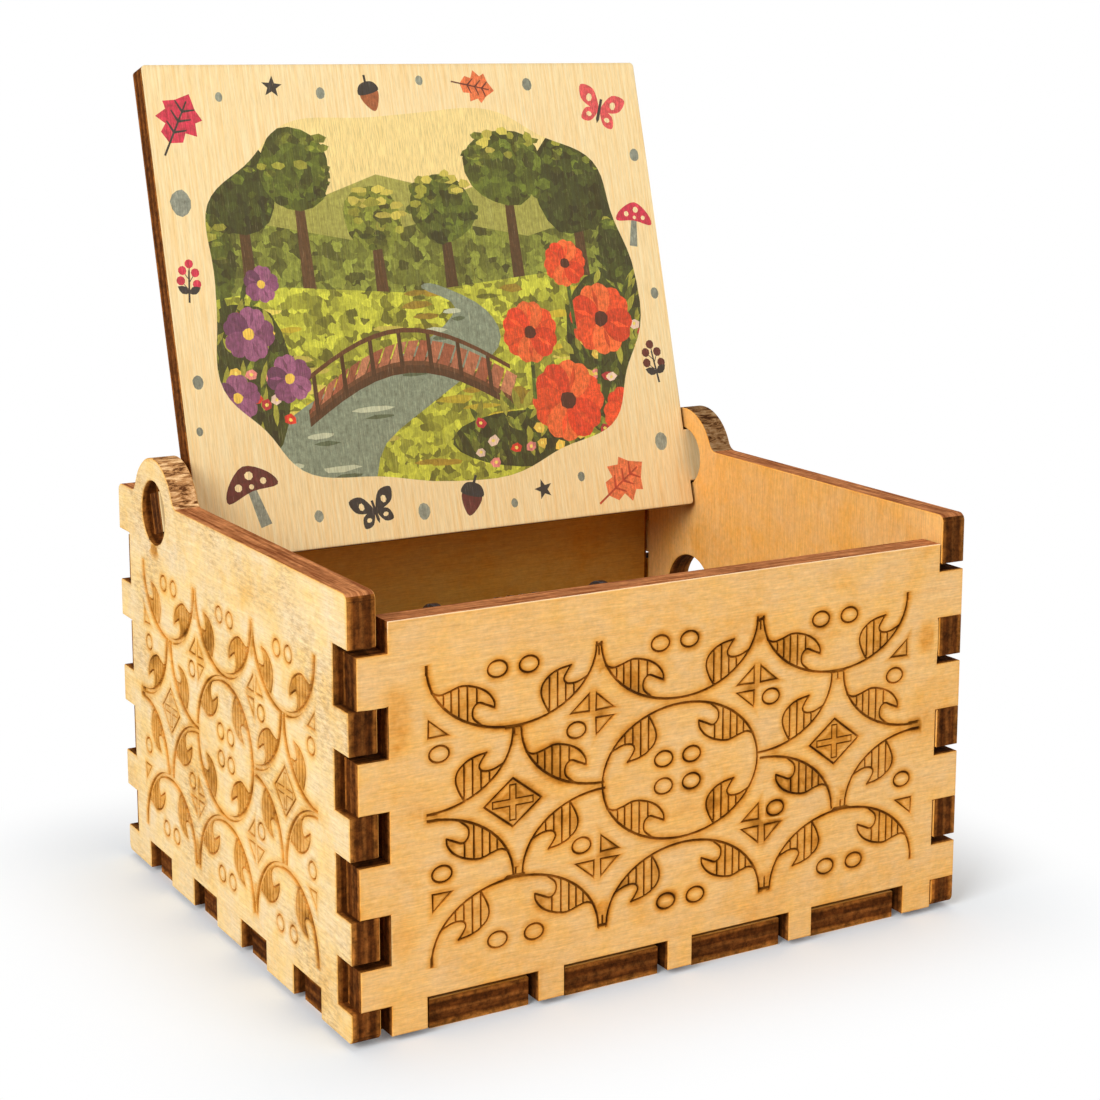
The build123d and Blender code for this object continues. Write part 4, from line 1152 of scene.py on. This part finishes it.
comb_steel, mat = new_material("comb_steel")
in_mm = mat.object_place(1000.0)
ground = mat.stretched(in_mm, (0.25, 7.0, 1.0))
ground = mat.noise(ground, 1.2, 4.0, 0.65)
along_tooth = mat.node("SeparateXYZ", {0: in_mm}).outputs[0]
heat_wave = mat.noise(in_mm, 0.35, 2.0)
along_tooth = mat.math("MULTIPLY_ADD", heat_wave, 4.0, along_tooth)
heat_place = mat.ranged(along_tooth, -12.0, 5.0)
blueing = mat.ramp(heat_place, (0.0, (0.58, 0.59, 0.6)), (0.30, (0.60, 0.57, 0.50)), (0.40, (0.44, 0.40, 0.42)),
                   (0.48, (0.34, 0.37, 0.46)), (0.62, (0.56, 0.58, 0.60)), (1.0, (0.62, 0.62, 0.61)))
ground_shade = mat.ranged(ground, 0.3, 0.7, 0.8, 1.12)
steel = mat.scaled(blueing, ground_shade)
ground_rough = mat.ranged(ground, 0.0, 1.0, 0.22, 0.42)
ground_bump = mat.bump(ground, 0.3, 3e-05)
mat.surface(Base_Color=steel, Roughness=ground_rough, Metallic=1.0, Normal=ground_bump)
fitted(softened("comb", 0.08), "comb", comb_steel, "case")

soft_lead = metal("soft_lead", (0.26, 0.27, 0.29), (0.16, 0.17, 0.18), 0.55, (1.0, 4.0, 1.0), 1.6, bump=0.7,
                  mottle=1.2)
fitted(softened("tuning_weights", 0.12), "tuning_weights", soft_lead, "case")

# ---------------------------------------------------------------------------
# The screws: slotted, turned from zinc-plated steel. Pan heads hold the comb,
# the bracket and the rear plate; two sunk heads come up through the floor.


def new_group(name, sizes, others):
    """A tree of geometry nodes with its named inputs, and the maker of its nodes."""
    tree = bpy.data.node_groups.new(name, "GeometryNodeTree")
    face = tree.interface
    face.new_socket(name="Geometry", in_out="INPUT", socket_type="NodeSocketGeometry")
    for label, value in sizes:
        face.new_socket(name=label, in_out="INPUT", socket_type="NodeSocketFloat").default_value = value
    for label, kind in others:
        face.new_socket(name=label, in_out="INPUT", socket_type="NodeSocket" + kind)
    face.new_socket(name="Geometry", in_out="OUTPUT", socket_type="NodeSocketGeometry")
    return tree, Nodes(tree)


def set_on_points(maker, given, shape, aim):
    """Ends a tree of geometry nodes: the shape is set on every point it is given, in the given material."""
    points = maker.node("GeometryNodeMeshToPoints", {"Mesh": given["Geometry"]}).outputs[0]
    placing = {"Points": points, "Instance": shape, "Rotation": aim}
    real = maker.node("GeometryNodeInstanceOnPoints", placing).outputs[0]
    real = maker.node("GeometryNodeRealizeInstances", {0: real}).outputs[0]
    finished = maker.node("GeometryNodeSetMaterial", {"Geometry": real, "Material": given["Material"]}).outputs[0]
    maker.tree.links.new(finished, maker.node("NodeGroupOutput").inputs[0])
    return maker.tree


def slotted_screws_tree():
    """Geometry nodes that set a slotted screw on every point: head, slot and a spiral thread."""
    tree, maker = new_group("slotted_screws", (
        ("Head radius", 0.002), ("Neck radius", 0.002), ("Crown radius", 0.0014), ("Head height", 0.0015),
        ("Slot width", 0.0005), ("Slot depth", 0.0006), ("Shank radius", 0.001), ("Shank length", 0.004),
        ("Thread pitch", 0.0004), ("Thread height", 0.00018),
    ), (("Pointing", "Vector"), ("Seed", "Int"), ("Material", "Material")))
    node, math_of, times = maker.node, maker.math, maker.times
    given = node("NodeGroupInput").outputs
    head_height, slot_depth = given["Head height"], given["Slot depth"]
    shank_length, shank_radius = given["Shank length"], given["Shank radius"]

    def upwards(height):
        return node("CombineXYZ", {2: height}).outputs[0]

    def moved(shape, place):
        return node("GeometryNodeTransform", {"Geometry": shape, "Translation": place}).outputs[0]

    def cone(top, bottom, depth, fill):
        sizes = {"Vertices": 36, "Radius Top": given[top], "Radius Bottom": given[bottom], "Depth": depth}
        return node("GeometryNodeMeshCone", sizes, fill_type=fill).outputs["Mesh"]

    def joined(*shapes):
        join = node("GeometryNodeJoinGeometry")
        for shape in shapes:
            tree.links.new(shape, join.inputs[0])
        return join.outputs[0]

    rim_height = times(head_height, 0.62)
    head = cone("Head radius", "Neck radius", rim_height, "NONE")
    crown = moved(cone("Crown radius", "Head radius", times(head_height, 0.38), "NGON"), upwards(rim_height))
    sizes = {"Vertices": 36, "Radius": given["Neck radius"]}
    neck = node("GeometryNodeMeshCircle", sizes, fill_type="NGON").outputs[0]
    neck = node("GeometryNodeFlipFaces", {"Mesh": neck}).outputs[0]
    merging = {"Geometry": joined(head, crown, neck), "Distance": same_spot}
    whole_head = node("GeometryNodeMergeByDistance", merging).outputs[0]
    slot_size = node("CombineXYZ", {0: 0.02, 1: given["Slot width"], 2: slot_depth}).outputs[0]
    tall_slot = maker.vector("MULTIPLY", slot_size, (1, 1, 1.5))
    slot_place = upwards(math_of("SUBTRACT", head_height, times(slot_depth, 0.5)))
    slot_place = maker.vector("ADD", slot_place, upwards(times(slot_depth, 0.25)))
    slot = moved(node("GeometryNodeMeshCube", {"Size": tall_slot}).outputs["Mesh"], slot_place)
    cut = node("GeometryNodeMeshBoolean", {0: whole_head, 1: slot}, operation="DIFFERENCE").outputs[0]
    core_radius = math_of("SUBTRACT", shank_radius, given["Thread height"])
    sizes = {"Vertices": 20, "Radius": core_radius, "Depth": shank_length}
    shank = moved(node("GeometryNodeMeshCylinder", sizes).outputs["Mesh"], upwards(times(shank_length, -0.5)))
    threaded, ridge_radius = times(shank_length, 0.9), times(given["Thread height"], 0.55)
    turns = math_of("DIVIDE", threaded, given["Thread pitch"])
    mean_radius = math_of("SUBTRACT", shank_radius, ridge_radius)
    sizes = {"Resolution": 18, "Rotations": turns, "Height": threaded, "Start Radius": mean_radius,
             "End Radius": mean_radius}
    spiral = moved(node("GeometryNodeCurveSpiral", sizes).outputs[0], upwards(times(shank_length, -0.98)))
    ridge = node("GeometryNodeCurvePrimitiveCircle", {"Resolution": 4, "Radius": ridge_radius}).outputs["Curve"]
    thread = node("GeometryNodeCurveToMesh", {"Curve": spiral, "Profile Curve": ridge, "Fill Caps": True}).outputs[0]
    spin = node("FunctionNodeRandomValue", {"Min": 0.0, "Max": 3.14159, "Seed": given["Seed"]}, data_type="FLOAT")
    spun = node("CombineXYZ", {2: spin.outputs[1]}).outputs[0]
    aim = node("FunctionNodeAlignRotationToVector", {"Vector": given["Pointing"]}, axis="Z").outputs[0]
    aim = node("FunctionNodeRotateRotation", {"Rotation": aim, "Rotate By": spun}, rotation_space="LOCAL").outputs[0]
    return set_on_points(maker, given, joined(cut, shank, thread), aim)


def made_by_nodes(name, points, tree, values):
    """The plain mesh that a tree of geometry nodes makes on points; values are named as the tree's inputs."""
    mesh = bpy.data.meshes.new(name)
    mesh.from_pydata([Vector(point) / 1000 for point in points], [], [])
    piece = linked(name, mesh)
    maker = piece.modifiers.new("maker", "NODES")
    maker.node_group = tree
    for socket in tree.interface.items_tree:
        if socket.in_out == "INPUT" and socket.name in values:
            maker[socket.identifier] = values[socket.name]
    graph = bpy.context.evaluated_depsgraph_get()
    made = bpy.data.meshes.new_from_object(piece.evaluated_get(graph))
    piece.modifiers.clear()
    piece.data = made
    bpy.data.meshes.remove(mesh)
    made.shade_smooth()
    made.set_sharp_from_angle(angle=math.radians(30))
    return piece


zinc_plate = metal("zinc_plated_steel", (0.66, 0.65, 0.60), (0.46, 0.45, 0.40), 0.30, (1.0, 1.0, 6.0), 1.5, bump=0.3,
                   mottle=0.9)
screw_tree = slotted_screws_tree()
for name, seats, pointing, sizes, seed in (
    ("comb_screws", ((-10.5, -12.46, 16.5), (-10.5, 4.46, 16.5)), (0, 0, 1), {}, 3),
    ("bracket_screws", ((0.45, 17.4, 8.2), (17.05, 17.4, 8.2)), (0, 0, 1), {"Shank length": 0.003}, 5),
    ("rear_plate_screws", ((-0.25, 25.0, 10.2), (17.75, 25.0, 10.2)), (0, 1, 0), {"Shank length": 0.0044}, 8),
    ("bedplate_screws", ((-10.2, -21.9, 1.2), (18.9, 20.2, 1.2)), (0, 0, -1), {
        "Head height": 0.0012, "Neck radius": 0.0012, "Head radius": 0.0022, "Crown radius": 0.0022,
        "Slot depth": 0.0004, "Shank length": 0.0056,
    }, 2),
):
    values = {"Pointing": pointing, "Seed": seed, "Material": zinc_plate, **sizes}
    screws = made_by_nodes(name + "_slotted", seats, screw_tree, values)
    fitted(screws, name, zinc_plate, "case")

# ---------------------------------------------------------------------------
# The cylinder: a thin brass tube with a steel pin for every note, closed by
# two brass discs that grip its steel arbor. It turns once for 24 of the crank.

cylinder_spot = (8.75, 16.0)
tube_radius = 6.2
tube_front, tube_rear = -19.0, 11.0
tooth_pitch, first_tooth, tooth_count = 1.5, -16.75, 18
beat_count, pin_root = 72, 0.3


def pins_tree():
    """Geometry nodes that set a short tapered pin on every point, square to the tube's axis."""
    sizes = (("Pin radius", 0.0002), ("Tip radius", 0.00015), ("Pin length", 0.0009))
    maker = new_group("cylinder_pins", sizes, (("Middle", "Vector"), ("Material", "Material")))[1]
    given = maker.node("NodeGroupInput").outputs
    shape = {"Vertices": 7, "Radius Top": given["Tip radius"], "Radius Bottom": given["Pin radius"],
             "Depth": given["Pin length"]}
    pin = maker.node("GeometryNodeMeshCone", shape, fill_type="NGON").outputs["Mesh"]
    outwards = maker.vector("SUBTRACT", maker.node("GeometryNodeInputPosition").outputs[0], given["Middle"])
    level = maker.vector("MULTIPLY", outwards, (1, 0, 1))
    aim = maker.node("FunctionNodeAlignRotationToVector", {"Vector": level}, axis="Z").outputs[0]
    return set_on_points(maker, given, pin, aim)


def smooth_piece(name, corners, faces, sharp):
    """A new piece with its faces outwards and smooth, but for edges sharper than an angle in degrees."""
    mesh = bpy.data.meshes.new(name)
    mesh.from_pydata(corners, [], faces)
    shape = bmesh.new()
    shape.from_mesh(mesh)
    bmesh.ops.recalc_face_normals(shape, faces=shape.faces)
    shape.to_mesh(mesh)
    shape.free()
    mesh.shade_smooth()
    mesh.set_sharp_from_angle(angle=math.radians(sharp))
    return linked(name, mesh)


def turned(name, profile, start, axis, sides=72):
    """A closed turned shape: radii against places along an axis, in mm, from a spot on that axis."""
    across = Y_AXIS if axis == X_AXIS else X_AXIS
    other = axis.cross(across)
    corners, faces = [], []
    for along, radius in profile:
        for side in range(sides):
            angle = 2 * math.pi * side / sides
            spoke = across * math.cos(angle) + other * math.sin(angle)
            corners.append((Vector(start) + axis * along + spoke * radius) / 1000)
    rings = len(profile)
    for ring in range(rings):
        following = (ring + 1) % rings
        for side in range(sides):
            j = (side + 1) % sides
            faces.append((ring * sides + side, following * sides + side, following * sides + j, ring * sides + j))
    return smooth_piece(name, corners, faces, 32)


brass = metal("turned_brass", (0.78, 0.56, 0.24), (0.60, 0.40, 0.15), 0.26, (0.4, 9.0, 0.4), 1.1, bump=0.35,
              mottle=0.5)
tube_profile = [(0, 5.7), (0, 6.05), (0.15, 6.2)]
for groove in range(tooth_count - 1):
    middle = first_tooth + tooth_pitch * (groove + 0.5) - tube_front
    tube_profile += [(middle - 0.08, 6.2), (middle, 6.14), (middle + 0.08, 6.2)]
length = tube_rear - tube_front
tube_profile += [(length - 0.15, 6.2), (length, 6.05), (length, 5.7)]
tube_start = (cylinder_spot[0], tube_front, cylinder_spot[1])
tube = turned("cylinder_tube", tube_profile, tube_start, Y_AXIS, 96)
fitted(tube, "cylinder_shell", brass, "cylinder")

pin_steel = metal("pin_steel", (0.62, 0.61, 0.58), (0.42, 0.40, 0.36), 0.34, (1.0, 1.0, 1.0), 3.0)
tune = random.Random(24)
pin_spots = []
for beat in range(beat_count):
    notes = {(beat * 7) % tooth_count, tune.randrange(tooth_count)}
    notes |= {(beat * 5 + 4) % tooth_count} if beat % 3 == 0 else set()
    notes |= {tune.randrange(tooth_count)} if beat % 2 else set()
    angle = 2 * math.pi * (beat + 0.5) / beat_count
    for note in notes:
        pin_spots.append((
            cylinder_spot[0] + (tube_radius - pin_root) * math.cos(angle),
            first_tooth + tooth_pitch * note,
            cylinder_spot[1] + (tube_radius - pin_root) * math.sin(angle),
        ))
pins = made_by_nodes("cylinder_pins", pin_spots, pins_tree(), {
    "Middle": (cylinder_spot[0] / 1000, 0.0, cylinder_spot[1] / 1000), "Material": pin_steel,
})
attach(pins, "cylinder")

fitted(softened("cylinder_caps", 0.1), "cylinder_caps", brass, "cylinder")
bright_steel = metal("bright_steel", (0.68, 0.68, 0.67), (0.52, 0.52, 0.51), 0.22, (6.0, 0.3, 6.0), 0.9, bump=0.25,
                     mottle=0.8)
fitted(softened("cylinder_arbor", 0.1), "cylinder_arbor", bright_steel, "cylinder")

# ---------------------------------------------------------------------------
# The worm gear: a brass wheel pressed onto the arbor, driven by a steel worm
# on the crank's shaft. Both are cut, and darkened by oil in patches.

gear_brass = metal("oiled_brass", (0.70, 0.48, 0.19), (0.40, 0.26, 0.09), 0.30, (0.6, 6.0, 0.6), 1.0, bump=0.3,
                   mottle=1.4)
fitted(softened("worm_wheel", 0.0, 30.0), "worm_wheel", gear_brass, "cylinder")
worm_steel = metal("oiled_steel", (0.54, 0.53, 0.50), (0.30, 0.29, 0.27), 0.28, (5.0, 0.6, 0.6), 1.0, bump=0.3,
                   mottle=1.3)
fitted(softened("worm", 0.0, 40.0), "worm", worm_steel, "crank")

# ---------------------------------------------------------------------------
# The bearings: brass bushes in the casting's post, in the rear plate and in
# the ears of the crank bracket. Plate and bracket are pressed from sheet
# steel and blackened; their sharp edges are painted pale grey, for black
# worn off and as a painted highlight.

for name in ("front_bush", "rear_bush", "ear_bushes"):
    fitted(softened(name, 0.08), name, brass, "case")

black_steel, mat = new_material("blackened_steel")
in_mm = mat.object_place(1000.0)
cloud = mat.noise(in_mm, 0.6, 5.0, 0.65)
grit = mat.noise(in_mm, 7.0, 3.0)
# sharp edges painted pale grey: black worn off, and a painted highlight
worn_and_highlit_edge = mat.node("NewGeometry").outputs["Pointiness"]
worn_and_highlit_edge = mat.ranged(worn_and_highlit_edge, 0.53, 0.6)
blacking = mat.ramp(cloud, (0.35, (0.02, 0.02, 0.021)), (0.65, (0.06, 0.06, 0.062)))
worn = mat.times(worn_and_highlit_edge, grit, clamp=True)
blackened = mat.mixed(worn, blacking, (0.42, 0.41, 0.39, 1))
black_rough = mat.ranged(cloud, 0.0, 1.0, 0.16, 0.34)
black_bump = mat.bump(grit, 0.25, 3e-05)
mat.surface(Base_Color=blackened, Roughness=black_rough, Metallic=0.3, Normal=black_bump)
for name in ("rear_plate", "crank_bracket"):
    fitted(softened(name, 0.14), name, black_steel, "case")

# ---------------------------------------------------------------------------
# The crank: a nickel-plated rod, bent twice, whose end is riveted over the
# knob. A ring and a collar keep the shaft between the ears of its bracket.

rod_start, arm_place, rod_end = -4.95, 41.0, 52.8
shaft_line = (17.4, 25.0)
pin_height = 8.0
bend = 2.2
rod_path = [Vector((rod_start, shaft_line[0], shaft_line[1]))]
quarter = [math.radians(90 * step / 12) for step in range(13)]
for angle in quarter:
    x, z = arm_place - bend + bend * math.sin(angle), shaft_line[1] - bend + bend * math.cos(angle)
    rod_path.append(Vector((x, shaft_line[0], z)))
for angle in quarter:
    x, z = arm_place + bend - bend * math.cos(angle), pin_height + bend - bend * math.sin(angle)
    rod_path.append(Vector((x, shaft_line[0], z)))
rod_path.append(Vector((rod_end, shaft_line[0], pin_height)))

rod_sides, rod_radius, rod_bevel = 40, 1.25, 0.3
rod_corners, rod_faces = [], []
sections = [(rod_path[0], rod_radius - rod_bevel, X_AXIS)]
for index, point in enumerate(rod_path):
    before = point - rod_path[index - 1] if index else X_AXIS
    after = rod_path[index + 1] - point if index + 1 < len(rod_path) else X_AXIS
    run = (before.normalized() + after.normalized()).normalized()
    sections.append((point + (X_AXIS * rod_bevel if index == 0 else Vector()), rod_radius, run))
for along, radius in ((0.0, 1.9), (0.25, 1.95), (0.5, 1.7), (0.7, 1.15), (0.8, 0.4)):
    sections.append((Vector((rod_end + along, shaft_line[0], pin_height)), radius, X_AXIS))
for middle, radius, run in sections:
    up_there = run.cross(Y_AXIS)
    for side in range(rod_sides):
        angle = 2 * math.pi * side / rod_sides
        rod_corners.append((middle + (Y_AXIS * math.cos(angle) + up_there * math.sin(angle)) * radius) / 1000)
for ring in range(len(sections) - 1):
    for side in range(rod_sides):
        j = (side + 1) % rod_sides
        first, second = ring * rod_sides, (ring + 1) * rod_sides
        rod_faces.append((first + side, second + side, second + j, first + j))
rod_faces.append(tuple(range(rod_sides)))
rod_faces.append(tuple(range((len(sections) - 1) * rod_sides, len(sections) * rod_sides))[::-1])
bent_rod = smooth_piece("bent_rod", rod_corners, rod_faces, 40)
nickel = metal("nickel_plate", (0.72, 0.70, 0.66), (0.58, 0.56, 0.52), 0.16, (0.25, 5.0, 5.0), 1.0, bump=0.15,
               mottle=0.35)
fitted(bent_rod, "crank_rod", nickel, "crank")
fitted(softened("shaft_collar", 0.15), "shaft_collar", nickel, "crank")
fitted(softened("retaining_ring", 0.08), "retaining_ring", worm_steel, "crank")

# ---------------------------------------------------------------------------
# The knob: turned from off-white plastic, wider towards its end, with two
# fine grooves for the fingers. It spins on the end of the rod.

knob_left, knob_bore = 43.5, 1.28
knob_profile = [(0.0, knob_bore), (0.0, 2.35), (0.12, 2.55), (0.35, 2.68), (0.9, 2.7)]
for step in range(15):
    share = step / 14
    swell = share * share * (3 - 2 * share)
    knob_profile.append((1.2 + 5.3 * share, 2.62 + 1.0 * swell))
knob_profile += [(6.6, 3.66), (6.7, 3.6), (6.78, 3.53), (6.9, 3.53), (6.98, 3.6), (7.08, 3.68)]
knob_profile += [(7.5, 3.69), (7.6, 3.62), (7.68, 3.55), (7.8, 3.55), (7.88, 3.62), (7.98, 3.7)]
knob_profile += [(8.3, 3.66), (8.7, 3.48), (9.0, 3.1), (9.15, 2.6), (9.2, 2.1), (9.2, knob_bore)]
knob_plastic, mat = new_material("knob_plastic")
in_mm = mat.object_place(1000.0)
cloud = mat.noise(in_mm, 0.4, 4.0)
specks = mat.noise(in_mm, 5.0, 4.0, 0.7)
ivory = mat.ramp(cloud, (0.35, (0.8, 0.76, 0.66)), (0.65, (0.87, 0.84, 0.75)))
handled = mat.ranged(specks, 0.62, 0.75, 1.0, 0.8)
plastic = mat.scaled(ivory, handled)
rings = mat.stretched(in_mm, (9.0, 0.5, 0.5))
rings = mat.noise(rings, 1.0, 2.0)
rings_bump = mat.bump(rings, 0.15, 4e-05)
plastic_rough = mat.ranged(specks, 0.0, 1.0, 0.25, 0.45)
mat.surface(Base_Color=plastic, Roughness=plastic_rough, Normal=rings_bump, Subsurface_Weight=0.15,
            Subsurface_Radius=(0.001, 0.0008, 0.0006))
knob = turned("turned_knob", knob_profile, (knob_left, shaft_line[0], pin_height), X_AXIS, 80)
fitted(knob, "crank_knob", knob_plastic, "knob")
